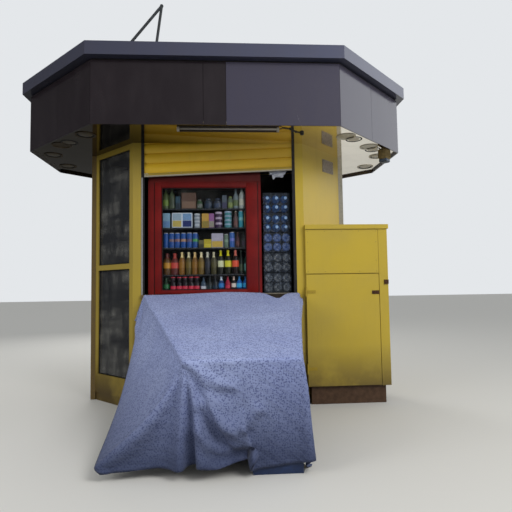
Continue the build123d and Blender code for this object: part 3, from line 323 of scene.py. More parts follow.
def gloss_red(node, place, colour):
    """Red gloss paint brushed over a steel door frame: brush lines upright, darker where
    hands have worn it, and darkened just below the shutter as painted shade."""
    brush = node.noise(node.stretch(place, (1.0, 1.0, 0.03)), 0.004, 3.0)
    worn = node.ramp(node.noise(place, 0.2, 4.0), 0.4, 0.8)
    coat = node.mix(worn, colour, "#5A0E0D")
    # Painted shade: the coat darkens just below the shutter
    return dict(Base_Color=node.mix(node.ramp(node.z(place), 2.04, 2.12, 0.0, 0.6), coat, "#2C100C"),
                Roughness=node.ramp(worn, 0.0, 1.0, 0.42, 0.58), Specular_IOR_Level=0.3,
                Normal=node.bump(brush, 0.0006, 0.35))


def clear_film(node, place):
    """Polythene shrink film: nearly clear, with white lines where it is pulled tight, which are painted glare
    of the crinkled film.
    """
    pulled = node.noise(node.stretch(place, (1.0, 1.0, 0.45)), 0.02, 4.0, 0.7)
    # Painted highlight: pale, less clear streaks stand for glare on the crinkled film
    return dict(Alpha=node.ramp(node.ramp(pulled, 0.52, 0.72), 0.0, 1.0, 0.05, 0.24),
                Normal=node.bump(node.noise(place, 0.03, 3.0), 0.004, 0.5),
                Base_Color="#A9B6CA", Roughness=0.22, Specular_IOR_Level=0.3)


def opal_acrylic(node, place):
    """Opal acrylic of a lamp that is off: milky and smooth, filmed with dust in patches, and darkened towards
    the left as painted shade.
    """
    film = node.ramp(node.noise(place, 0.05, 4.0), 0.3, 0.7)
    # Painted shade: the milky tone darkens towards the kiosk's left end
    milk = left_painted_shade(node, place, "#453B2A", "#E4DED0")
    return dict(Base_Color=node.mix(node.times(film, 0.3), milk, "#B0A790"),
                Roughness=node.ramp(film, 0.0, 1.0, 0.28, 0.4))


def floor_paint(node, place, colour):
    """Matt pale studio floor. Light that bounces off it is held back to the strength of a
    grey floor's, and in mirrors the floor goes from dark at the left to pale at the right."""
    shade, dark, light = ((*(share * channel for channel in colour[:3]), 1.0) for share in (0.35, 0.20, 1.4))
    mirrored = node.mix(node.ramp(node.x(place), -2.2, 2.2), dark, light)
    seen = node.mix(node.glossy_ray(), colour, mirrored)
    return dict(Base_Color=node.mix(node.diffuse_ray(), seen, shade), Roughness=0.9)


def make_materials(colours):
    """All the finishes, by the name of the record's slot they stand for, or their own."""
    table = {
        "yellow_paint": ("yellow_enamel_on_steel", enamelled_steel, colours.yellow, colours.yellow_faded),
        "brown_panel": ("dark_brown_composite_panel", composite_panel, colours.panel, colours.panel_right,
                        PANEL_JOINT),
        "painted_steel_dark": ("dark_primer_on_steel", plain_coat, "#1E1B1B", "#282322", 0.03, 0.65),
        "floor_steel": ("worn_floor_plate", plain_coat, "#5C5A56", "#47443F", 0.05, 0.55, 0.5),
        "galvanised": ("galvanised_steel", galvanised_steel),
        # Painted light: a brighter copy of the yellow enamel for the slats
        "lit_shutter_enamel": ("yellow_enamel_on_slats", enamelled_steel, colours.slats, "#DAB138",
                           colours.slats),
        "guide_channel": ("grimy_steel_channel", plain_coat, "#2B2A2C", "#1B1A1B", 0.03, 0.6),
        "worn_aluminium": ("worn_aluminium_extrusion", worn_aluminium),
        "window_glass": ("dusty_float_glass", dusty_glass, "#3E3F42", 0.44, 0.3),
        "display_glass": ("display_float_glass", dusty_glass, "#14181A", 0.04, 0.05),
        "soffit_gloss": ("polished_champagne_soffit", mirror_soffit),
        "light_trim": ("dull_lamp_rim", galvanised_steel, "#57482E"),
        "mast_paint": ("weathered_mast_paint", plain_coat, "#3C4046", "#2F302C", 0.04, 0.55),
        "red_paint": ("red_gloss_paint", gloss_red, colours.red),
        "shelf_board": ("dark_coated_shelf", plain_coat, "#23262A", "#2D3034", 0.02, 0.4),
        "plinth_brown": ("brown_plinth_paint", plain_coat, "#5A4230", "#463427", 0.04, 0.7),
        "rusty_steel": ("rusty_steel", rusty_steel),
        "lamp_white": ("opal_acrylic", opal_acrylic),
        "lamp_body": ("dusty_lamp_housing", plain_coat, "#7B6A43", "#5F5236", 0.02, 0.65, 0.3),
        "lamp_nose": ("dark_lamp_nose", plain_coat, "#2F3947", "#3C4654", 0.02, 0.4),
        "weathered_plate": ("weathered_bare_plate", plain_coat, "#A69C92", "#6E655C", 0.012, 0.6),
        "stand_board": ("weathered_softwood", timber_board),
        "stand_blue": ("dark_blue_paint", plain_coat, "#1C2A48", "#26365A", 0.02, 0.5),
        "printed_cloth": ("printed_cotton_sheet", printed_cotton, colours.sheet, "#9FAAD0", colours.specks),
        "shrink_film": ("tinted_bottles_under_film", tinted_plastic, 0.2, 0.6),
        "stock": ("tinted_plastic_and_tin", tinted_plastic),
        "tinted_metal": ("plated_steel_heads", tinted_plastic, 0.4, 0.0),
        "clear_film": ("clear_shrink_film", clear_film),
        "lamp_cap": ("aged_white_plastic", plain_coat, "#C4C0B4", "#A9A392", 0.015, 0.4),
        "lamp_tray": ("browned_lamp_tray", plain_coat, "#3A2F24", "#2A231C", 0.02, 0.55),
        # Painted shade: the coping darkens towards the kiosk's left end
        "coping": ("blue_grey_composite_panel", composite_panel, "#3F404E", "#4F5268", (-1.5, 1.5)),
        "black_rubber": ("black_rubber_seal", plain_coat, "#141414", "#1E1E1E", 0.01, 0.55),
    }
    return {key: material(*made) for key, made in table.items()}


# Surfaces worked out as grids of points. A patch is points, quads and one colour a quad.
UNTINTED = "#808080"


def grid_quads(rows, columns, wrap=False):
    """The quads between a grid's points, with the last column joined to the first if wrap."""
    index = np.arange(rows * columns).reshape(rows, columns)
    if wrap:
        index = np.concatenate([index, index[:, :1]], axis=1)
    return np.stack([index[:-1, :-1], index[:-1, 1:], index[1:, 1:], index[1:, :-1]], axis=-1).reshape(-1, 4)


def patch(points, wrap=False, tint=UNTINTED):
    """A patch from a grid of points, all of one colour, or of one colour for each row."""
    rows, columns = points.shape[:2]
    quads = grid_quads(rows, columns, wrap)
    tints = [tint] * (rows - 1) if isinstance(tint, str) else tint
    colours = np.repeat(np.array([linear(t) for t in tints]), len(quads) // (rows - 1), axis=0)
    return points.reshape(-1, 3), quads, colours


def joined(patches):
    """Several patches as one."""
    points, quads, colours = zip(*patches)
    shifts = np.cumsum([0] + [len(p) for p in points[:-1]])
    quads = [part + shift for part, shift in zip(quads, shifts)]
    return np.concatenate(points), np.concatenate(quads), np.concatenate(colours)


def moved(shape, offset):
    return shape[0] + np.array(offset, float), shape[1], shape[2]


def ring(segments):
    """Cosines and sines of angles spread evenly over a full turn."""
    angle = np.linspace(0, 2 * np.pi, segments, endpoint=False)
    return np.cos(angle), np.sin(angle)


def turned(profile, tint=UNTINTED, segments=20):
    """A surface of revolution about Z: each profile point (radius, height) becomes the
    circle (radius cos a, radius sin a, height) for a from 0 to a full turn."""
    radius, tall = np.array(profile, float).T[..., None]
    cosine, sine = ring(segments)
    points = np.stack([radius * cosine, radius * sine, np.repeat(tall, segments, axis=1)], axis=-1)
    return patch(points, wrap=True, tint=tint)


def eased_box(x, y, z, radius, steps=2, tint=UNTINTED):
    """A box over a range along each axis, with round edges: its point for the direction n is
    the centre, plus the inner half size with the signs of n, plus radius times n, for n over
    the whole sphere."""
    low, high = np.array([x, y, z], float).T
    inner = (high - low) / 2 - radius
    quarter = np.linspace(0, np.pi / 2, steps + 1)
    around = np.concatenate([quarter + q * np.pi / 2 for q in range(4)])
    signs_x = np.repeat([1, -1, -1, 1], steps + 1)
    signs_y = np.repeat([1, 1, -1, -1], steps + 1)
    up = np.concatenate([quarter - np.pi / 2, quarter])
    sign_z = np.repeat([-1, 1], steps + 1)
    x = signs_x * inner[0] + radius * np.outer(np.cos(up), np.cos(around))
    y = signs_y * inner[1] + radius * np.outer(np.cos(up), np.sin(around))
    z = np.repeat((sign_z * inner[2] + radius * np.sin(up))[:, None], len(around), axis=1)
    points, quads, colours = patch(np.stack([x, y, z], axis=-1) + (low + high) / 2, wrap=True, tint=tint)
    corners = np.arange(4) * (steps + 1)
    caps = np.array([corners[::-1], corners + len(points) - len(around)])
    return points, np.concatenate([quads, caps]), np.concatenate([colours, colours[:2]])


def about(middle, half):
    """The range that reaches half to both sides of the middle."""
    return middle - half, middle + half


def tube(path, radius, segments=10, tint=UNTINTED):
    """A round tube: circles of the radius, square to the path at each of its points, with
    closed ends. The path turns gently, so one fixed side direction keeps them in line."""
    path = np.array(path, float)
    ahead = np.gradient(path, axis=0)
    ahead /= np.linalg.norm(ahead, axis=1, keepdims=True)
    side = np.cross(ahead, np.eye(3)[int(np.argmin(np.abs(ahead).mean(axis=0)))])
    side /= np.linalg.norm(side, axis=1, keepdims=True)
    cosine, sine = ring(segments)
    around = cosine[:, None] * side[:, None, :] + sine[:, None] * np.cross(side, ahead)[:, None, :]
    first, last = (np.repeat(end[:, None, :], segments, axis=1) for end in (path[:1], path[-1:]))
    rings = path[:, None, :] + radius * around
    return patch(np.concatenate([first, rings, last]), wrap=True, tint=tint)


FINISH_NAMES = {}


def add_object(name, mesh, finish):
    """Puts a mesh into the scene as a smooth object with one of the finishes operator's
    materials, riding on the kiosk's body."""
    mesh.shade_smooth()
    mesh.materials.append(bpy.data.materials[FINISH_NAMES[finish]])
    made = bpy.data.objects.new(name, mesh)
    bpy.context.scene.collection.objects.link(made)
    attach(made, "kiosk")
    return made


def piece(name, shapes, finish, replaces=None, smooth_below=35.0):
    """Makes one object from patches: doubled points merged, faces turned outwards, edges
    sharper than smooth_below degrees kept crisp."""
    points, quads, colours = joined(shapes if isinstance(shapes, list) else [shapes])
    mesh = bpy.data.meshes.new(name)
    mesh.from_pydata(points.tolist(), [], quads.tolist())
    tint = mesh.color_attributes.new("tint", "FLOAT_COLOR", "CORNER")
    tint.data.foreach_set("color", np.repeat(colours, 4, axis=0).ravel())
    tidy = bmesh.new()
    tidy.from_mesh(mesh)
    bmesh.ops.remove_doubles(tidy, verts=tidy.verts, dist=1e-6)
    bmesh.ops.recalc_face_normals(tidy, faces=tidy.faces)
    tidy.to_mesh(mesh)
    tidy.free()
    made = add_object(name, mesh, finish)
    mesh.set_sharp_from_angle(angle=math.radians(smooth_below))
    if replaces:
        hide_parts(replaces)
    return made


# Settings

def colour_setting(name, description, colour):
    return FloatVectorProperty(name=name, description=description, subtype="COLOR", size=4,
                               default=linear(colour))


def number_setting(name, description, value, **more):
    return FloatProperty(name=name, description=description, default=value, **more)


class KioskColourSettings(PropertyGroup):
    yellow: colour_setting("Yellow enamel", "Walls, posts and cabinet", "#C2A735")
    yellow_faded: colour_setting("Faded yellow", "The same where the sun has faded it", "#B69E40")
    # Painted light: the slats' yellow is brighter than the walls' so that they read as lit under the eave's
    # shade
    slats: colour_setting("Slats", "Enamel of the roller shutter", "#EABF30")
    panel: colour_setting("Roof panels", "Gloss coat of the fascia at the left and middle", "#211A1E")
    # Painted reflection: the fascia is paler right of the front's joint, where it mirrors bright surroundings
    panel_right: colour_setting("Roof panels, right", "The paler batch right of the front's joint", "#403D4C")
    red: colour_setting("Red paint", "Frame of the display", "#761412")
    sheet: colour_setting("Sheet", "Ground of the printed cloth", "#8E99C3")
    specks: colour_setting("Specks", "Print on the cloth", "#3F487A")


class KioskStageSettings(PropertyGroup):
    camera_place: FloatVectorProperty(
        name="Camera place", description="Where the camera stands", subtype="TRANSLATION", unit="LENGTH",
        default=(0.0497, -5.019, 1.098))
    camera_yaw: number_setting("Yaw", "Turn of the view to the right", 0.0663, subtype="ANGLE")
    camera_pitch: number_setting("Pitch", "Tilt of the view upwards", 0.0650, subtype="ANGLE")
    camera_roll: number_setting("Roll", "Turn about the camera's own line of sight", -0.0151, subtype="ANGLE")
    lens: number_setting("Lens", "Focal length on a 36 mm wide sensor, in millimetres", 32.91)
    floor_colour: colour_setting("Floor", "Colour of the studio floor", "#D3D1CB")
    sky_colour: colour_setting("Backdrop", "Colour round the object", "#E4E7EA")
    sky_light: number_setting("Sky light", "Strength of the light from all round", 0.70, min=0.0)
    key_power: number_setting("Key light", "Power of the large lamp at the front right", 200.0, unit="POWER")
    fill_power: number_setting("Fill light", "Power of the lamps at the left and behind", 90.0, unit="POWER")


FLOOR_REACH = 40.0
# Just under the feet, so that no face of theirs lies in it
FLOOR_LEVEL = -0.001


class KIOSK_OT_stage(Operator):
    """Sets up the floor, the even light and the camera at the photograph's angle"""
    bl_idname = "kiosk.stage"
    bl_label = "Set the stage"

    def execute(self, context):
        settings = context.scene.kiosk_stage
        scene = context.scene
        scene.view_settings.view_transform = "Standard"
        lens = bpy.data.cameras.new("camera")
        lens.sensor_width = 36.0
        lens.lens = settings.lens
        camera = bpy.data.objects.new("camera", lens)
        angles = (-settings.camera_yaw, math.pi / 2 + settings.camera_pitch, settings.camera_roll)
        yaw, pitch, roll = (Matrix.Rotation(angle, 4, axis) for angle, axis in zip(angles, "ZXZ"))
        camera.matrix_world = Matrix.Translation(settings.camera_place) @ yaw @ pitch @ roll
        scene.collection.objects.link(camera)
        scene.camera = camera

        floor = bpy.data.meshes.new("floor")
        ends = (-FLOOR_REACH, FLOOR_REACH)
        floor.from_pydata([(x, y, FLOOR_LEVEL) for x in ends for y in ends], [], [(0, 2, 3, 1)])
        ground = bpy.data.objects.new("floor", floor)
        scene.collection.objects.link(ground)
        floor.materials.append(material("pale_floor", floor_paint, settings.floor_colour))

        # The camera and mirrors see the backdrop, in mirrors from dark left to pale right
        world = bpy.data.worlds.new("studio")
        scene.world = world
        world.use_nodes = True
        world.node_tree.nodes.clear()
        node = Nodes(world.node_tree)
        mirrored = node.glossy_ray()
        seen = node.most(node.most(node.camera_ray(), node.transmission_ray()), mirrored)
        rise = node.ramp(node.x(node.direction()), -0.6, 0.95)
        walls = node.ramp(node.times(rise, rise), 0.0, 1.0, 0.08, 2.0)
        shown = node.glow(settings.sky_colour, node.ramp(mirrored, 0.0, 1.0, 1.0, walls))
        light = node.glow(settings.sky_colour, settings.sky_light)
        node.world(node.mix_shaders(seen, light, shown))

        lamps = (
            ("key", (3.2, -5.4, 4.6), (0.0, -0.6, 1.2), 3.2, settings.key_power),
            ("fill", (-4.6, -4.6, 3.2), (-0.3, 0.0, 1.2), 3.0, settings.fill_power),
            ("back", (-2.0, 5.5, 4.6), (0.0, 0.0, 1.4), 3.5, settings.fill_power * 1.5),
        )
        for name, place, target, size, power in lamps:
            data = bpy.data.lights.new(name, "AREA")
            data.shape = "DISK"
            data.size = size
            data.energy = power
            lamp = bpy.data.objects.new(name, data)
            lamp.rotation_euler = (Vector(target) - Vector(place)).to_track_quat("-Z", "Y").to_euler()
            lamp.location = place
            lamp.visible_glossy = False
            scene.collection.objects.link(lamp)
        return {"FINISHED"}


# Nodes whose finish differs from what their slot usually gets
NODE_FINISHES = {"display_glass": "display_glass", "shutter_guides": "guide_channel", "coping": "coping",
                 "roof_mast": "mast_paint", "shutter_curtain": "lit_shutter_enamel"}


class KIOSK_OT_finishes(Operator):
    """Gives every node of the frame the finish that its record slot names"""
    bl_idname = "kiosk.finishes"
    bl_label = "Finish the frame"

    def execute(self, context):
        made = make_materials(context.scene.kiosk_colours)
        FINISH_NAMES.update({key: value.name for key, value in made.items()})
        for part in frame["record"]["subparts"]:
            materials = NODES[part["node"]].data.materials
            materials.clear()
            materials.append(made[NODE_FINISHES.get(part["node"], part["material_slot"])])
        return {"FINISHED"}


# Goods behind the glass

def bottle_profile(neck):
    """A drinks bottle: straight body, rounded shoulder, neck of the given share, screw cap."""
    return ((0, 0), (0.85, 0), (1, 0.03), (1, 0.14), (1.02, 0.14), (1.02, 0.42), (1, 0.42), (1, 0.55),
            (0.88, 0.63), (0.6, 0.71), (neck, 0.79), (neck * 0.94, 0.93), (neck * 1.15, 0.935),
            (neck * 1.15, 1, -0.002), (neck * 0.9, 1), (0, 1))


# Round goods: how many are stacked, profile, which colour each band has, and points around. A
# profile point is a share of half the width, a share of the height, and any metres added.
ROUND_GOODS = {
    "bottle": (1, bottle_profile(0.36), "000011000000222", 14),
    "jar": (1, bottle_profile(0.8), "000011000000222", 14),
    "flask": (1, ((0, 0), (0.9, 0), (1, 0.04), (1, 0.30), (1.03, 0.30), (1.03, 0.56), (1, 0.56),
                  (0.92, 0.64), (0.55, 0.76), (0.34, 0.84), (0.32, 0.92), (0.42, 0.93), (0.42, 1), (0, 1)),
              "0000110022222", 14),
    "can": (1, ((0, 0, 0.004), (0.72, 0, 0.004), (0.78, 0), (0.98, 0.03), (1, 0.05), (1, 0.42), (1, 0.60),
                (1, 0.90), (0.84, 0.965), (0.86, 1), (0.8, 1), (0.78, 1, -0.004), (0, 1, -0.004)),
            "222001002222", 14),
    "tub": (1, ((0, 0), (0.8, 0), (0.95, 0.1), (1, 0.5), (0.9, 0.75), (0.5, 0.9), (0.62, 1), (0, 0.98)),
            "0010011", 12),
    **{f"tins{count}": (
        count, ((0, 0), (0.93, 0), (0.93, 0.58), (1, 0.60), (1, 0.95), (0.9, 0.99), (0, 0.99)),
        "001110", 16) for count in (3, 4)},
}
CAN_LID = "#B9BDC2"


def article(kind, x, y, z, width, tall, *tints):
    """One article of the stock with its foot's middle at x, y, z: round goods, or a carton
    with plain fields of a second colour on its front, one below or two in each half."""
    half = width / 2
    if kind in ROUND_GOODS:
        count, profile, bands, segments = ROUND_GOODS[kind]
        step = tall / count
        points = [(half * r, step * h + sum(more)) for r, h, *more in profile]
        shape = turned(points, [(*tints, CAN_LID)[int(band)] for band in bands], segments)
        return joined([moved(shape, (x, y, z + step * level)) for level in range(count)])
    if kind == "carton":
        front, edge, steps, proud = y - 0.0275, 0.002, 1, 0.0006
        fields = (((x - half * 0.92, x + half * 0.92), 0.04, 0.46, tints[1]),)
    else:
        front, edge, steps, proud = y - 0.035, 0.008, 3, 0.0008
        left, right = ((start, start + half - 0.014) for start in (x - half + 0.008, x + 0.006))
        fields = ((left, 0.06, 0.48, tints[1]), (left, 0.50, 0.94, "#8FA6B8"),
                  (right, 0.06, 0.48, "#1E2C66"), (right, 0.50, 0.94, "#6F94BC"))
    shapes = [eased_box(about(x, half), about(y, y - front), (z, z + tall), edge, steps, tints[0])]
    for across, low, high, tint in fields:
        shapes.append(eased_box(across, (front - proud, front + 0.004), (z + low * tall, z + high * tall),
                                proud, 1, tint))
    return joined(shapes)


# Each shelf: its level, the rows behind the first, and its goods from the left: kind, place
# along X, width, height, then main colour, second colour and cap
SHELVES = (
    (1.853, 2, (
        ("bottle", -0.515, 0.062, 0.205, "#4B5A34", "#6F8A3A", "#5E4658"),
        ("bottle", -0.455, 0.062, 0.205, "#44503A", "#3A4636", "#6A4C62"),
        ("carton", -0.395, 0.045, 0.120, "#2E4A5A", "#24303A"),
        ("carton", -0.290, 0.140, 0.155, "#5C4438", "#7A6252"),
        ("tub", -0.190, 0.060, 0.090, "#36523A", "#6A6E6A"),
        ("tub", -0.105, 0.080, 0.100, "#23303E", "#2E3C50"),
        ("tub", -0.015, 0.080, 0.100, "#2A3240", "#384660"),
        ("carton", 0.050, 0.046, 0.130, "#4E5A66", "#3B3A5A"),
        ("tub", 0.105, 0.055, 0.120, "#5A6B58", "#7B8C4C"),
        ("bottle", 0.160, 0.052, 0.200, "#6F7F86", "#5E7048", "#8C9AA6"),
        ("bottle", 0.222, 0.058, 0.225, "#A8B2AE", "#C4C6B4", "#A9AEB6"),
    )),
    (1.668, 2, (
        ("carton", -0.508, 0.072, 0.142, "#7FA6BE", "#5F86B4"),
        ("framed", -0.356, 0.196, 0.145, "#C6D2DE", "#B5A356"),
        ("tins4", -0.212, 0.060, 0.140, "#8A94A0", "#B8C2C8"),
        ("carton", -0.135, 0.068, 0.138, "#B99342", "#8A7A3A"),
        ("carton", -0.075, 0.050, 0.138, "#8E5C92", "#8C8A7C"),
        ("tins3", -0.005, 0.068, 0.155, "#3D2A48", "#B4A8BC"),
        ("tins4", 0.085, 0.072, 0.160, "#3E8088", "#8FA8BE"),
        ("bottle", 0.156, 0.044, 0.165, "#5E4C4C", "#6A4A46", "#C9C2AE"),
        ("can", 0.210, 0.050, 0.165, "#2F8FA0", "#7BB8BC"),
        ("can", 0.262, 0.046, 0.165, "#A5794E", "#B49A5E"),
    )),
    (1.475, 2, (
        *(("can", x, 0.053, 0.146, "#1D4C92", label) for x, label in (
            (-0.515, "#23589C"), (-0.4585, "#7A6468"), (-0.402, "#8C6A66"),
            (-0.3455, "#A98468"), (-0.289, "#6A5A72"), (-0.2325, "#4F9A4C"))),
        ("carton", -0.176, 0.050, 0.075, "#5E5C40", "#3A3A2C"),
        ("carton", -0.115, 0.072, 0.082, "#B0A02C", "#C4B63A"),
        ("carton", -0.023, 0.112, 0.138, "#A8A6B8", "#BFA248"),
        ("can", 0.062, 0.044, 0.130, "#5C7462", "#7F9A84"),
        ("can", 0.118, 0.050, 0.150, "#2F5FA8", "#6F7AC8"),
        ("bottle", 0.175, 0.042, 0.150, "#3A1E24", "#5A3434", "#4A3030"),
        ("bottle", 0.238, 0.046, 0.150, "#232C30", "#3E3248", "#2A3438"),
    )),
    (1.220, 2, (
        ("flask", -0.502, 0.076, 0.205, "#5C3E1A", "#C28C30", "#6A2E2A"),
        ("flask", -0.428, 0.072, 0.205, "#5A2420", "#C0463C", "#A8443C"),
        ("flask", -0.360, 0.056, 0.215, "#7E5414", "#8E6420", "#E2CE90"),
        ("flask", -0.2995, 0.056, 0.215, "#54481C", "#6C5A24", "#D8D2A8"),
        ("flask", -0.239, 0.056, 0.215, "#76501C", "#886024", "#D8B87A"),
        ("flask", -0.1785, 0.056, 0.215, "#6A5422", "#7C6428", "#E8DEB4"),
        ("flask", -0.118, 0.056, 0.215, "#24262C", "#2C303C", "#D0D0BC"),
        ("flask", -0.0575, 0.056, 0.215, "#3E3A1C", "#4C4820", "#C8C4A0"),
        ("flask", 0.010, 0.058, 0.232, "#14180F", "#D8DCB0", "#C8C41C"),
        ("flask", 0.078, 0.064, 0.232, "#181C0C", "#D4D038", "#D6D020"),
        ("flask", 0.150, 0.064, 0.232, "#1C1010", "#E2583C", "#C86A5C"),
        ("bottle", 0.206, 0.044, 0.228, "#14201C", "#3A4A34", "#28382C"),
        ("bottle", 0.262, 0.056, 0.236, "#123A30", "#6CA8A0", "#C4D8D4"),
    )),
    (1.050, 1, (
        ("flask", -0.512, 0.062, 0.142, "#12301F", "#1E6A3C", "#2A4A34"),
        *(("jar", x, 0.054, 0.150, "#1C141C", "#C8304A", "#C83048")
          for x in (-0.444, -0.388, -0.332, -0.276, -0.220)),
        ("bottle", -0.160, 0.052, 0.142, "#3C5064", "#C4CCD6", "#2A3440"),
        ("bottle", -0.100, 0.052, 0.152, "#0E1A1C", "#18303A", "#2A2C34"),
        ("bottle", -0.045, 0.052, 0.152, "#0E1820", "#142C44", "#5A4A4C"),
        ("flask", 0.012, 0.054, 0.148, "#123C70", "#2C7CC4", "#D8E8F6"),
        ("bottle", 0.076, 0.048, 0.152, "#A01838", "#C8304C", "#8C3040"),
        ("flask", 0.132, 0.046, 0.148, "#14161E", "#E0D8D0", "#D0B8A8"),
        ("flask", 0.187, 0.056, 0.146, "#0F5AA8", "#3CB0E8", "#2A78B4"),
        ("flask", 0.247, 0.056, 0.146, "#0F5AA8", "#3CB0E8", "#2A78B4"),
    )),
)
FRONT_ROW = -0.505
ROW_STEP = 0.082
EMPTY_SHARE = 0.12


class KIOSK_OT_goods(Operator):
    """Stands the drinks and cartons on the display's shelves, row behind row"""
    bl_idname = "kiosk.goods"
    bl_label = "Fill the shelves"

    def execute(self, context):
        drift = np.random.default_rng(7)
        for number, (level, behind, goods) in enumerate(SHELVES):
            shapes = []
            for row in range(behind + 1):
                for kind, x, width, tall, *tints in goods:
                    if row and drift.random() < EMPTY_SHARE:
                        continue
                    x += drift.uniform(-0.002, 0.002)
                    y = FRONT_ROW + row * ROW_STEP + drift.uniform(-0.003, 0.003)
                    shapes.append(article(kind, x, y, level, width, tall, *tints))
            piece(f"goods_shelf_{number + 1}", shapes, "stock")
        return {"FINISHED"}


# Water bottles in shrink film

def ribs(start, count):
    """A wall whose radius goes in and out by 1.2 mm, every 16 mm."""
    return [(0.0425 - 0.0012 * (i % 2), start + 0.016 * i) for i in range(count)]


def water_bottle(tint, cap, turned_round):
    """A large water bottle on its side, towards -Y: ribbed wall, domed shoulder and a screw
    cap, or if turned round its foot with a star of five hollows."""
    if turned_round:
        profile = [(0.0, 0.006), (0.006, 0.004), (0.016, 0.004), (0.024, 0.0), (0.034, 0.0), (0.0405, 0.006),
                   (0.0425, 0.018), *ribs(0.03, 14), (0.0425, 0.255), (0.03, 0.277), (0.0, 0.285)]
        points, quads, colours = turned(profile, tint)
        reach = np.hypot(points[:, 0], points[:, 1])
        foot = (points[:, 2] < 0.008) & (reach > 0.003)
        star = 0.5 + 0.5 * np.cos(5 * np.arctan2(points[:, 1], points[:, 0]))
        points[:, 2] += np.where(foot, 0.005 * star, 0.0)
    else:
        profile = [(0.0, 0.001), (0.012, 0.0), (0.0148, 0.0015), (0.0152, 0.015), (0.0152, 0.017),
                   (0.0138, 0.019), (0.0145, 0.03), (0.022, 0.046), (0.034, 0.062), (0.0415, 0.082),
                   *ribs(0.092, 12), (0.040, 0.286), (0.0, 0.290)]
        points, quads, colours = turned(profile, [cap] * 5 + [tint] * (len(profile) - 6))
    return points[:, [0, 2, 1]], quads, colours


def film_sheet(left, right, front, base, top, seed):
    """Shrink film over a pack's front: flat on the bottles, drawn in between them, with
    pulled creases that are a sum of five waves at random slants."""
    drift = np.random.default_rng(seed)
    x, z = np.meshgrid(np.linspace(left, right, 40), np.linspace(base, top, 34), indexing="xy")
    u, v = (x - left) / (right - left), (z - base) / (top - base)
    hollow = np.abs(np.sin(3 * np.pi * u)) ** 0.7 * np.abs(np.sin(2 * np.pi * v)) ** 0.7
    waves = zip(drift.uniform(2, 7, 5), drift.uniform(1, 6, 5), drift.uniform(0, 6, 5))
    crease = sum(np.sin(2 * np.pi * (a * u + b * v) + p) / (a + b) for a, b, p in waves)
    depth = front + 0.010 - 0.007 * hollow + 0.0016 * crease
    return patch(np.stack([x, np.maximum(depth, front + 0.001), z], axis=-1))


# The packs from the lowest up: bottle colour, cap colour, and whether their feet look out
PACK_LOOKS = (
    ("#33393F", "#40464C", True), ("#30353A", "#3C4244", True), ("#2B4372", "#587098", True),
    ("#1F4A80", "#86A8D0", False), ("#214E86", "#86A8D0", False),
)


class KIOSK_OT_packs(Operator):
    """Stacks the film-wrapped packs of water beside the display, in place of the plain blocks"""
    bl_idname = "kiosk.packs"
    bl_label = "Stack the water packs"

    def execute(self, context):
        low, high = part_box("bottle_packs")
        width = high.x - low.x
        step = (high.z - low.z) / len(PACK_LOOKS)
        bottles, films = [], []
        for pack, look in enumerate(PACK_LOOKS):
            base = low.z + step * pack
            for across, up in ((a, b) for b in (0.27, 0.73) for a in (0.17, 0.50, 0.83)):
                place = (low.x + width * across, low.y + 0.008, base + step * up)
                bottles.append(moved(water_bottle(*look), place))
            reach = (base + 0.002, base + step - 0.002)
            films.append(film_sheet(low.x + 0.002, high.x - 0.002, low.y, *reach, pack))
        piece("water_bottles", bottles, "shrink_film", "bottle_packs")
        piece("pack_film", films, "clear_film")
        return {"FINISHED"}


# Small fittings on the frame

def clusters(points, reach):
    """The centres of groups of points that lie within reach of each other."""
    centres = []
    left = np.array(points, float)
    while len(left):
        near = np.linalg.norm(left - left[0], axis=1) < reach
        centres.append((left[near].min(axis=0) + left[near].max(axis=0)) / 2)
        left = left[~near]
    return centres


def mesh_points(mesh):
    """The points of a mesh, as an array."""
    points = np.empty(len(mesh.vertices) * 3)
    mesh.vertices.foreach_get("co", points)
    return points.reshape(-1, 3)


BEAD_RADIUS = 0.0045


def bead_frame(near, far, base, top):
    """A closed run of rubber bead round an upright pane: one straight round bar a side."""
    corners = np.array([(*near, base), (*far, base), (*far, top), (*near, top)])
    ends = zip(corners, np.roll(corners, -1, axis=0))
    return joined([tube(np.linspace(start, end, 3), BEAD_RADIUS, 8) for start, end in ends])


def dome_head(place, outwards, radius, tint):
    """A domed screw or bolt head on its washer, standing on a face that looks outwards."""
    profile = ((0.0, 0.0), (1.5, 0.0), (1.5, 0.12), (1.0, 0.16), (0.95, 0.5), (0.6, 0.78), (0.0, 0.86))
    points, quads, colours = turned(np.array(profile) * radius, tint, 10)
    turn = Vector(outwards).to_track_quat("Z", "Y").to_matrix()
    return points @ np.array(turn).T + np.array(place), quads, colours


# The guide's lip is rubbed bare up to where the shutter hangs
BARE_LIP_TOP = 2.13


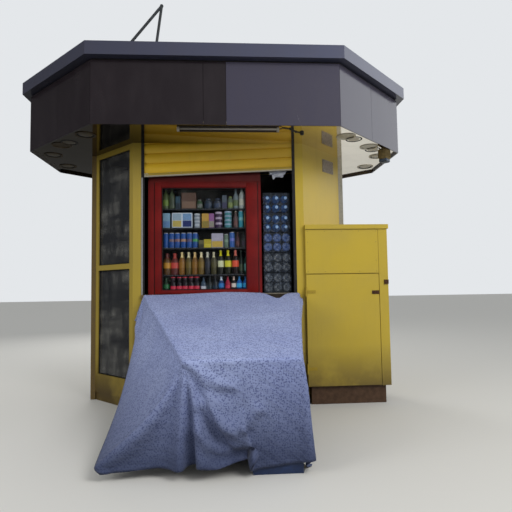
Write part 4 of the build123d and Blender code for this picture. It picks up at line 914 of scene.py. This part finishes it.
class KIOSK_OT_glazing(Operator):
    """Adds the rubber seals round the panes and the raised mouldings of the display's leaf"""
    bl_idname = "kiosk.glazing"
    bl_label = "Seal the glazing"

    def execute(self, context):
        low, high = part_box("left_window_glass")
        levels = np.unique(mesh_points(NODES["left_window_glass"].data)[:, 2].round(4))
        near, far = (high.x - 0.0085, low.y - 0.0025), (low.x - 0.0025, high.y - 0.0085)
        beads = [bead_frame(near, far, base + 0.004, top - 0.004) for base, top in (levels[:2], levels[2:4])]
        piece("left_window_seals", beads, "black_rubber")

        low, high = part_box("display_glass")
        seal = bead_frame((low.x + 0.004, low.y - 0.002), (high.x - 0.004, low.y - 0.002),
                          low.z + 0.004, high.z - 0.004)
        piece("display_seal", seal, "black_rubber")

        outer_low, outer_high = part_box("display_frame")
        y = outer_low.y
        x0, x1 = outer_low.x + 0.062, outer_high.x - 0.034
        z0, z1 = outer_low.z + 0.006, outer_high.z - 0.012
        left, right = low.x - 0.006, high.x + 0.006
        leaf = [eased_box(across, (y - 0.010, y + 0.002), up, 0.003) for across, up in (
            ((x0, left), (z0, z1)), ((right, x1), (z0, z1)),
            ((left, right), (high.z + 0.006, z1)), ((left, right), (z0, low.z - 0.004)))]
        piece("display_leaf_moulding", leaf, "red_paint")
        header = eased_box((outer_low.x + 0.002, outer_high.x - 0.002), (y + 0.002, y + 0.036),
                           (outer_high.z - 0.004, outer_high.z + 0.090), 0.003)
        piece("display_header", header, "red_paint")
        gaps = [tube(np.linspace((x, y - 0.001, z0), (x, y - 0.001, z1), 3), 0.0035, 6)
                for x in (x0 - 0.004, x1 + 0.004)]
        piece("display_leaf_gap", gaps, "black_rubber")

        low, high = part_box("shutter_guides")
        lip = eased_box((low.x + 0.003, low.x + 0.015), (low.y - 0.0015, low.y + 0.001),
                        (low.z, BARE_LIP_TOP), 0.0006, 1, "#9A9A98")
        piece("guide_bare_lip", lip, "tinted_metal")
        return {"FINISHED"}


class KIOSK_OT_lights(Operator):
    """Dresses the soffit's round lights, the tube light under the eave and the corner lamp"""
    bl_idname = "kiosk.lights"
    bl_label = "Dress the lights"

    def execute(self, context):
        low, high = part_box("soffit_lights")
        points = mesh_points(NODES["soffit_lights"].data)
        centres = [centre + [0, 0, 0.001] for centre in clusters(points[points[:, 2] < low.z + 0.0005], 0.3)]
        for name, profile, finish, slot in (
                ("soffit_lenses", ((0.0, -0.001), (0.030, 0.0), (0.052, 0.003), (0.060, 0.006)),
                 "lamp_white", "lamp_white"),
                ("soffit_lens_rings", ((0.060, 0.0055), (0.068, 0.001), (0.074, 0.0005), (0.078, 0.003)),
                 "black_rubber", None)):
            piece(name, [moved(turned(profile, segments=28), centre) for centre in centres], finish)

        low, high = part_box("tube_light")
        y = (low.y + high.y) / 2
        axis = (y - 0.012, high.z - 0.020)
        run = np.linspace((low.x + 0.012, *axis), (high.x - 0.012, *axis), 9)
        piece("tube_rod", tube(run, 0.0095, 14), "lamp_white", "tube_light")
        inner = (low.x + 0.001, high.x - 0.001)
        tray = [eased_box(inner, about(y, 0.0272), (high.z - 0.009, high.z), 0.002),
                eased_box(inner, (y + 0.0020, y + 0.0272), (low.z + 0.006, high.z - 0.008), 0.002)]
        piece("tube_tray", tray, "lamp_tray", "tube_light")
        caps = [eased_box(across, (y - 0.0270, y + 0.0050), (low.z, high.z - 0.008), 0.004, 3)
                for across in ((low.x, low.x + 0.022), (high.x - 0.022, high.x))]
        piece("tube_caps", caps, "lamp_cap", "tube_light")

        # The conduit, clipped under the eave on its way to the junction box at spot
        z = high.z - 0.0045
        spot = np.array([0.747, -0.957, z])
        run = np.array([(high.x - 0.002, y, z - 0.012), (high.x + 0.03, y + 0.004, z),
                        (high.x + 0.10, y + 0.03, z), spot - [0.06, 0.03, 0.0], spot])
        box = turned([(0.0, -0.014), (0.014, -0.014), (0.017, -0.010), (0.018, 0.0035), (0.0, 0.004)])
        clips = [eased_box(about(p[0], 0.006), about(p[1], 0.009), (p[2] - 0.005, p[2] + 0.004), 0.002)
                 for p in run[2:4]]
        piece("eave_conduit", [tube(run, 0.0042, 8), moved(box, spot), *clips], "black_rubber")

        low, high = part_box("corner_lamp")
        centre = (low + high) / 2
        half = (high.x - low.x) / 2 / math.sqrt(2)
        side = math.sqrt(0.5)
        turn = np.array([[side, side, 0.0], [-side, side, 0.0], [0.0, 0.0, 1.0]])

        def lamp_box(x, y, base, top, radius, steps=2):
            """A box about the lamp's axis, which stands at 45 degrees."""
            points, quads, colours = eased_box(x, y, (base, top), radius, steps)
            return points @ turn + [centre.x, centre.y, 0.0], quads, colours

        def square(share, *sizes):
            return lamp_box(about(0, share), about(0, share), *sizes)

        fins = [lamp_box(about(half * share, 0.0015), (-half, half), low.z + 0.046, high.z - 0.026, 0.001, 1)
                for share in np.linspace(-0.78, 0.78, 9)]
        housing = [square(half - 0.004, low.z + 0.030, high.z - 0.012, 0.014, 4),
                   square(half * 0.45, high.z - 0.014, high.z, 0.003), *fins]
        piece("corner_lamp_housing", housing, "lamp_body", "corner_lamp")
        nose = [square(half * 0.86, low.z + 0.004, low.z + 0.034, 0.008, 3),
                square(half * 0.68, low.z, low.z + 0.010, 0.004, 2)]
        piece("corner_lamp_nose", nose, "lamp_nose", "corner_lamp")
        return {"FINISHED"}


LOCK_BELOW_HANDLE = 0.14
# Where the torn film hangs under the rail, how far forward it may come, and its film's gauge
SCRAP_PLACE, SCRAP_FRONT, SCRAP_GAUGE = -0.588, -0.602, 0.0008


class KIOSK_OT_hardware(Operator):
    """Adds bolts, screws, the rear lock and the torn scrap of film"""
    bl_idname = "kiosk.hardware"
    bl_label = "Add the hardware"

    def execute(self, context):
        low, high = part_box("wall_plate")
        slant, along = (np.array([1.0, turn, 0.0]) / math.sqrt(2) for turn in (-1.0, 1.0))
        face = np.array([(low.x + high.x) / 2, (low.y + high.y) / 2, 0.0]) + slant * 0.004
        reach = (high.x - low.x) / math.sqrt(2) - 0.018
        bolts = [dome_head(face + along * side * reach + [0, 0, z], slant, 0.005, "#7C766C")
                 for side in (-1, 1) for z in (low.z + 0.016, high.z - 0.016)]
        piece("wall_plate_bolts", bolts, "tinted_metal")

        low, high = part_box("cabinet_upper_panel")
        across, edges = np.linspace(low.x + 0.02, high.x - 0.02, 5), (low.z + 0.018, high.z - 0.018)
        places = [(x, z) for x in across for z in edges]
        places += [(x, z) for z in (low.z + 0.12, high.z - 0.12) for x in (across[0], across[-1])]
        screws = [dome_head((x, low.y, z), (0, -1, 0), 0.0032, "#A08C3A") for x, z in places]
        piece("cabinet_panel_screws", screws, "tinted_metal")

        low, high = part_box("roof_mast")
        mast = mesh_points(NODES["roof_mast"].data)
        clamps = []
        for x, y, _ in clusters(mast[mast[:, 2] < low.z + 0.03], 0.2):
            for angle in np.arange(4) * math.pi / 2 + 0.6:
                place = (x + 0.045 * math.cos(angle), y + 0.045 * math.sin(angle), low.z + 0.0075)
                clamps.append(dome_head(place, (0, 0, 1), 0.006, "#8A867C"))
        piece("mast_bolts", clamps, "tinted_metal")

        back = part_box("rear_door")[1].y
        fittings = mesh_points(NODES["rear_door_fittings"].data)
        handle = fittings[fittings[:, 1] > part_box("rear_door_fittings")[1].y - 0.004]
        x, _, z = (handle.min(axis=0) + handle.max(axis=0)) / 2
        rose = [(0.0, 0.0), (0.021, 0.0), (0.021, 0.003), (0.012, 0.005), (0.0, 0.005)]
        points, quads, colours = turned(rose, "#9A968C")
        z -= LOCK_BELOW_HANDLE
        lock = points[:, [0, 2, 1]] + [x, back, z], quads, colours
        key = eased_box(about(x, 0.0022), (back + 0.0045, back + 0.0058), about(z, 0.007),
                        0.0005, 1, "#101010")
        piece("rear_door_lock", [lock, key], "tinted_metal")

        # A torn scrap of film hangs under the shutter's rail: a sheet roughened by six waves
        low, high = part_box("bottle_packs")
        drift = np.random.default_rng(3)
        u, v = np.meshgrid(np.linspace(-1, 1, 22), np.linspace(-1, 1, 12), indexing="xy")
        waves = zip(drift.uniform(2, 9, 6), drift.uniform(2, 9, 6), drift.uniform(0, 6, 6))
        rough = sum(np.sin(a * u + b * v + p) / 3 for a, b, p in waves)
        x = (low.x + high.x) / 2 + 0.01 + (0.070 - 0.020 * v) * u + 0.010 * np.roll(rough, 3, axis=1)
        y = np.maximum(SCRAP_PLACE + 0.012 * rough, SCRAP_FRONT)
        z = high.z + 0.172 - 0.034 * v + 0.008 * rough * (1.0 + v)
        scrap = patch(np.stack([x, y, z], axis=-1), tint="#B9BDC6")
        scrap = piece("film_scrap", scrap, "stock", smooth_below=60)
        scrap.modifiers.new("thickness", "SOLIDIFY").thickness = SCRAP_GAUGE
        return {"FINISHED"}


# The cloth over the stand

def length_setting(name, description, value):
    return number_setting(name, description, value, unit="LENGTH")


class KioskClothSettings(PropertyGroup):
    spare_left: length_setting("Spare at the left", "Sheet left of the stand's back corner", 0.25)
    spare_right: length_setting("Spare at the right", "Sheet right of the stand's back corner", 0.20)
    length: length_setting("Length", "Sheet from its back edge to its front hem", 2.16)
    corner_drop: length_setting("Corner drop", "How much lower the hem hangs at the left corner", 0.055)
    dip: length_setting("Dip", "How far the back edge has slid down at the right", 0.20)
    gather_start: number_setting("Pleats from", "Degrees of the flat sheet before the pleats start", 34.0)
    gather_span: number_setting("Pleats over", "Degrees of the flat sheet that go into the pleats", 104.0)
    pleats: IntProperty(name="Pleats", description="Number of pleats below the front corner", default=3)
    slack: number_setting("Slack", "Share by which the sheet is wider than what it covers", 0.02)
    cell: length_setting("Cell", "Spacing of the sheet's points", 0.019)
    frames: IntProperty(name="Frames", description="Steps of the simulation", default=44)


def unit(vector):
    return np.array(vector) / np.linalg.norm(vector)


def between(first, second):
    """Angle between two directions."""
    return math.acos(float(unit(first) @ unit(second)))


def round_corner(offset, corner, crease, fold, ridge, gather, span, pleats=0):
    """Lays the sheet round one front corner of the stand, onto a front and a side plane that
    meet in the fold. Offset is the flat place from the corner, along the crease and down.
    The sheet has a surplus of angle there, so the angles in the span past gather are drawn
    together by it. They stand off the plane as pleats: reach times depth times one minus
    the cosine, with the depth that keeps the sheet's own length."""
    reach = np.hypot(offset[..., 0], offset[..., 1])
    angle = np.arctan2(offset[..., 1], offset[..., 0]) % (2 * np.pi)
    bend = between(crease, fold)
    surplus = 2 * np.pi - between(crease, ridge) - bend - between(fold, ridge)
    inside = np.clip((angle - gather) / span, 0.0, 1.0)
    angle = (angle - surplus * inside)[..., None]
    along, turn = unit(crease), unit(fold)
    down = unit(turn - along * (along @ turn))
    back = unit(unit(ridge) - turn * (unit(ridge) @ turn))
    past = angle - bend
    front = np.cos(angle) * along + np.sin(angle) * down
    side = np.cos(past) * turn + np.sin(past) * back
    place = np.array(corner) + reach[..., None] * np.where(past > 0, side, front)
    if pleats:
        steep = math.sqrt(2.0 * ((span / (span - surplus)) ** 1.6 - 1.0))
        depth = steep * (span - surplus) / (2 * np.pi * pleats)
        place[..., 1] -= reach * depth * (1.0 - np.cos(2 * np.pi * pleats * inside))
    return place, surplus


# How far off the stand the sheet starts, forwards and upwards
LIFT = 0.007
# Heights that its left corner, its front and its right corner hang towards
HEM_LEFT, HEM_MIDDLE, HEM_RIGHT = 0.05, 0.07, 0.10


def sheet_over_stand(settings):
    """The flat sheet and where it starts: on the stand's slope, down its front, and round
    both front corners. Returns flat places, start places and the back edge's length."""
    low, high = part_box("stand")
    hem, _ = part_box("stand_cloth")
    slope = mesh_points(NODES["stand"].data)
    slope = slope[slope[:, 2] > low.z + 0.05]
    back = slope[slope[:, 1] > high.y - 0.001]
    front = slope[slope[:, 1] < low.y + 0.001]
    ends = ((back, np.argmin), (back, np.argmax), (front, np.argmax), (front, np.argmin))
    a, b, c, d = (row[end(row[:, 0])] + [0.0, -LIFT, LIFT] for row, end in ends)
    hem_left = np.array([hem.x - 0.023, hem.y + 0.027, HEM_LEFT])
    hem_right = np.array([c[0] + 0.14, hem.y, HEM_RIGHT])
    fall = np.linalg.norm([d[1] - a[1], d[2] - a[2]])
    covered, left_s, right_s = b[0] - a[0], d[0] - a[0], c[0] - a[0]
    width = settings.spare_left + covered * (1.0 + settings.slack) + settings.spare_right
    rows, columns = (int(round(reach / settings.cell)) + 1 for reach in (settings.length, width))
    gather, span = math.radians(settings.gather_start), math.radians(settings.gather_span)
    left_corner = (d, c - d, hem_left - d, a - d, gather, span)

    # The hem: level in its place, so it is cut slanting where the sheet is gathered
    sweep = np.radians(np.linspace(25.0, 162.0, 80))
    _, surplus = round_corner(np.zeros((1, 2)), *left_corner)
    hung = sweep - surplus * np.clip((sweep - gather) / span, 0.0, 1.0)
    drop = settings.length - fall + settings.corner_drop * np.clip((hung - 1.0) / 1.2, 0.0, 1.0) ** 2
    hem_s = left_s + drop / np.sin(hung) * np.cos(sweep)
    hem_t = fall + drop / np.sin(hung) * np.sin(sweep)
    order = np.argsort(hem_s)
    s = np.linspace(-settings.spare_left, width - settings.spare_left, columns)
    along = s / (1.0 + settings.slack)
    cut = np.interp(along, hem_s[order], hem_t[order])
    flat = np.stack([np.repeat(s[None], rows, axis=0), np.linspace(0.0, 1.0, rows)[:, None] * cut], axis=-1)

    # The slope, the front below it, and round the left and the right corner
    past_end = np.clip(along - covered, 0.0, None)
    along = np.repeat(along[None], rows, axis=0)
    dip = settings.dip * np.exp(-((along - 0.845 * covered) / 0.075) ** 2)
    down = flat[..., 1] + dip * np.exp(-flat[..., 1] / 0.25)
    sideways, slope = np.array([1.0, 0.0, 0.0]), [0.0, d[1] - a[1], d[2] - a[2]]
    place = a + along[..., None] * sideways + (down / fall)[..., None] * slope
    below = down > fall
    hang = unit([0.0, hem.y - d[1], HEM_MIDDLE - d[2]])
    level = d + (along - left_s)[..., None] * sideways + (down - fall)[..., None] * hang
    place = np.where(below[..., None], level, place)
    wrapped, _ = round_corner(np.stack([along - left_s, down - fall], axis=-1), *left_corner, settings.pleats)
    beyond = (along - left_s) * fall < (down - fall) * left_s
    place = np.where(np.where(below, along < (left_s + right_s) / 2, beyond)[..., None], wrapped, place)
    right_corner = (c, d - c, hem_right - c, b - c, math.pi / 2, 1.5 * math.pi - between(d - c, b - c))
    wrapped, _ = round_corner(np.stack([right_s - along, down - fall], axis=-1), *right_corner)
    beyond = (along - right_s) * fall > (down - fall) * (right_s - covered)
    place = np.where(np.where(below, along > right_s, beyond)[..., None], wrapped, place)

    # Clear of the wall and the ground, faintly rippled, with its spare right end hanging
    place[..., 1] = np.minimum(place[..., 1], a[1] + 0.004)
    ripple = np.sin(9.0 * flat[..., 0] + 2.0) * np.sin(5.0 * flat[..., 1])
    place[..., 1] -= 0.004 * (1.0 + ripple) * np.clip(flat[..., 1] / 0.5, 0.0, 1.0)
    place[..., 2] = np.maximum(place[..., 2], 0.008)
    spare = past_end > 0
    place[0, spare] = b + past_end[spare, None] * unit([0.24, -0.20, -0.90])
    return flat, place, covered


def obstacle(mesh, name):
    """A temporary body that the cloth falls against."""
    made = bpy.data.objects.new(name, mesh)
    bpy.context.scene.collection.objects.link(made)
    made.modifiers.new("collision", "COLLISION")
    made.collision.thickness_outer = 0.003
    made.collision.cloth_friction = 12.0
    return made


OBSTACLES = ("stand", "counter", "front_lower_wall", "front_left_post", "left_kick_panel",
             "left_window_frame", "cabinet_door", "cabinet_walls")
CLOTH = {"quality": 6, "mass": 0.18, "tension_stiffness": 25.0, "compression_stiffness": 18.0,
         "shear_stiffness": 8.0, "bending_stiffness": 1.2, "air_damping": 2.0, "vertex_group_mass": "pins"}
COLLISION = {"distance_min": 0.004, "self_distance_min": 0.004, "collision_quality": 3,
             "use_self_collision": True}


def hang_cloth(flat, place, back_width, settings):
    """Runs the simulation from the start place, with the flat sheet as its rest shape and the
    back edge and the lower left corner held, and returns the settled points."""
    scene = bpy.context.scene
    rows, columns = place.shape[:2]
    mesh = bpy.data.meshes.new("falling")
    mesh.from_pydata(place.reshape(-1, 3).tolist(), [], grid_quads(rows, columns).tolist())
    sheet = bpy.data.objects.new("falling", mesh)
    scene.collection.objects.link(sheet)
    sheet.shape_key_add(name="start")
    rest = sheet.shape_key_add(name="cut flat")
    rest.data.foreach_set("co", np.concatenate([flat, np.zeros((rows, columns, 1))], axis=-1).ravel())
    index = np.arange(rows * columns).reshape(rows, columns)
    s = flat[0, :, 0] / (1.0 + settings.slack)
    held = index[0][(s >= 0.0) & (s <= back_width + 0.10)]
    pins = sheet.vertex_groups.new(name="pins")
    pins.add([*held.tolist(), *index[-4:, :3].ravel().tolist()], 1.0, "REPLACE")
    bodies = [obstacle(NODES[name].data.copy(), "wall." + name) for name in OBSTACLES]
    ground = bpy.data.meshes.new("ground")
    ground.from_pydata([(-4, -4, 0), (4, -4, 0), (4, 4, 0), (-4, 4, 0)], [], [(0, 1, 2, 3)])
    bodies.append(obstacle(ground, "ground"))
    cloth = sheet.modifiers.new("cloth", "CLOTH")
    for target, values in ((cloth.settings, CLOTH), (cloth.collision_settings, COLLISION)):
        for key, value in values.items():
            setattr(target, key, value)
    cloth.settings.rest_shape_key = rest
    cloth.point_cache.frame_end = settings.frames
    for step in range(1, settings.frames + 1):
        scene.frame_set(step)
    settled = bpy.data.meshes.new_from_object(sheet.evaluated_get(bpy.context.evaluated_depsgraph_get()))
    scene.frame_set(1)
    for body in (sheet, *bodies):
        bpy.data.objects.remove(body)
    return mesh_points(settled).reshape(rows, columns, 3)


# How far out the rolls start, the stand's front they may sink to, and the most they stand out
ROLL_START, ROLL_INNERMOST, ROLL_OUTERMOST = -2.08, -2.223, -2.36
BOW, BELLY = 0.016, 0.070
# Rolls that hang across the front below the corner: points (x, z), width and depth
ROLLS = (
    (((-0.195, 0.672), (-0.126, 0.612), (-0.068, 0.563), (0.000, 0.525), (0.080, 0.515)), 0.034, 0.022),
    (((-0.085, 0.420), (-0.036, 0.346), (0.022, 0.296), (0.102, 0.272), (0.180, 0.300), (0.226, 0.373)),
     0.036, 0.034),
    (((-0.117, 0.280), (-0.060, 0.198), (0.009, 0.160), (0.078, 0.158), (0.154, 0.190)), 0.032, 0.026),
)


def away_from(place, line):
    """Distance of each point from a line of (x, z) points, seen from the front: the least
    of the distances to its straight runs."""
    seen = place[..., [0, 2]]
    least = np.full(seen.shape[:-1], np.inf)
    for start, end in zip(line[:-1], line[1:]):
        run = end - start
        share = np.clip((seen - start) @ run / (run @ run), 0.0, 1.0)
        least = np.minimum(least, np.linalg.norm(seen - start - share[..., None] * run, axis=-1))
    return least


def styled(place, flat, spare_left):
    """The settled sheet with its rolls and its billow. A roll stands out towards the front
    by depth times e to the minus square of distance over width, and sinks in by half as
    much about one width below, never into the stand. The back edge is bowed up in its middle,
    and the left edge bellies out by a half sine of height."""
    out = np.zeros(place.shape[:2])
    for line, width, depth in ROLLS:
        line = np.array(line)
        for middle, height in ((line, depth), (line - [0.35 * width, 1.3 * width], -0.5 * depth)):
            out += height * np.exp(-(away_from(place, middle) / width) ** 2)
    x, y, z = (place[..., axis] for axis in range(3))
    front = np.clip((ROLL_START - y) / 0.10, 0.0, 1.0)
    y = np.clip(y - front * out, np.minimum(y, ROLL_OUTERMOST), np.maximum(y, ROLL_INNERMOST))
    z = z + BOW * np.exp(-((x - 0.05) / 0.32) ** 2 - flat[..., 1] / 0.12)
    edge = np.clip(1.0 - (flat[..., 0] + spare_left) / 0.50, 0.0, 1.0) ** 1.5
    tall = np.clip((1.02 - z) / 0.97, 0.0, 1.0)
    return np.stack([x - BELLY * edge * np.sin(np.pi * tall) ** 0.7, y, z], axis=-1)


SHEET_THICKNESS = 0.0012


class KIOSK_OT_cloth(Operator):
    """Cuts the printed sheet, lets it settle over the stand and replaces the plain one"""
    bl_idname = "kiosk.cloth"
    bl_label = "Drape the cloth"

    def execute(self, context):
        settings = context.scene.kiosk_cloth
        flat, place, back_width = sheet_over_stand(settings)
        place = hang_cloth(flat, place, back_width, settings)
        place = styled(place, flat, settings.spare_left)
        quads = grid_quads(*place.shape[:2])
        mesh = bpy.data.meshes.new("printed_sheet")
        mesh.from_pydata(place.reshape(-1, 3).tolist(), [], quads.tolist())
        layer = mesh.uv_layers.new(name="flat")
        layer.data.foreach_set("uv", flat.reshape(-1, 2)[quads.ravel()].ravel())
        sheet = add_object("printed_sheet", mesh, "printed_cloth")
        wall = sheet.modifiers.new("thickness", "SOLIDIFY")
        wall.thickness = SHEET_THICKNESS
        wall.offset = 0.0
        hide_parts("stand_cloth")
        width = float(flat[0, -1, 0] - flat[0, 0, 0])
        return {"FINISHED"}


class KIOSK_PT_panel(Panel):
    """Lists the settings and the steps"""
    bl_idname = "KIOSK_PT_panel"
    bl_label = "Street kiosk"
    bl_space_type = "VIEW_3D"
    bl_region_type = "UI"
    bl_category = "Kiosk"

    def draw(self, context):
        for group, steps in PANEL_ROWS:
            if group:
                settings = getattr(context.scene, group)
                for key in settings.__annotations__:
                    self.layout.prop(settings, key)
            for step in steps:
                self.layout.operator(step.bl_idname)


GROUPS = (
    ("kiosk_colours", KioskColourSettings),
    ("kiosk_stage", KioskStageSettings),
    ("kiosk_cloth", KioskClothSettings),
)
# The steps in their order, each row under the settings that it reads
PANEL_ROWS = (
    ("kiosk_stage", (KIOSK_OT_stage,)),
    ("kiosk_colours", (KIOSK_OT_finishes,)),
    (None, (KIOSK_OT_goods, KIOSK_OT_packs, KIOSK_OT_glazing, KIOSK_OT_lights, KIOSK_OT_hardware)),
    ("kiosk_cloth", (KIOSK_OT_cloth,)),
)
OPERATORS = [step for _, steps in PANEL_ROWS for step in steps]
CLASSES = (*(group for _, group in GROUPS), *OPERATORS, KIOSK_PT_panel)


def register():
    for made in CLASSES:
        bpy.utils.register_class(made)
    for name, group in GROUPS:
        setattr(bpy.types.Scene, name, PointerProperty(type=group))


def unregister():
    for name, _ in GROUPS:
        delattr(bpy.types.Scene, name)
    for made in reversed(CLASSES):
        bpy.utils.unregister_class(made)


def main():
    register()
    for step in OPERATORS:
        area, action = step.bl_idname.split(".")
        getattr(getattr(bpy.ops, area), action)()


if __name__ == "__main__":
    main()
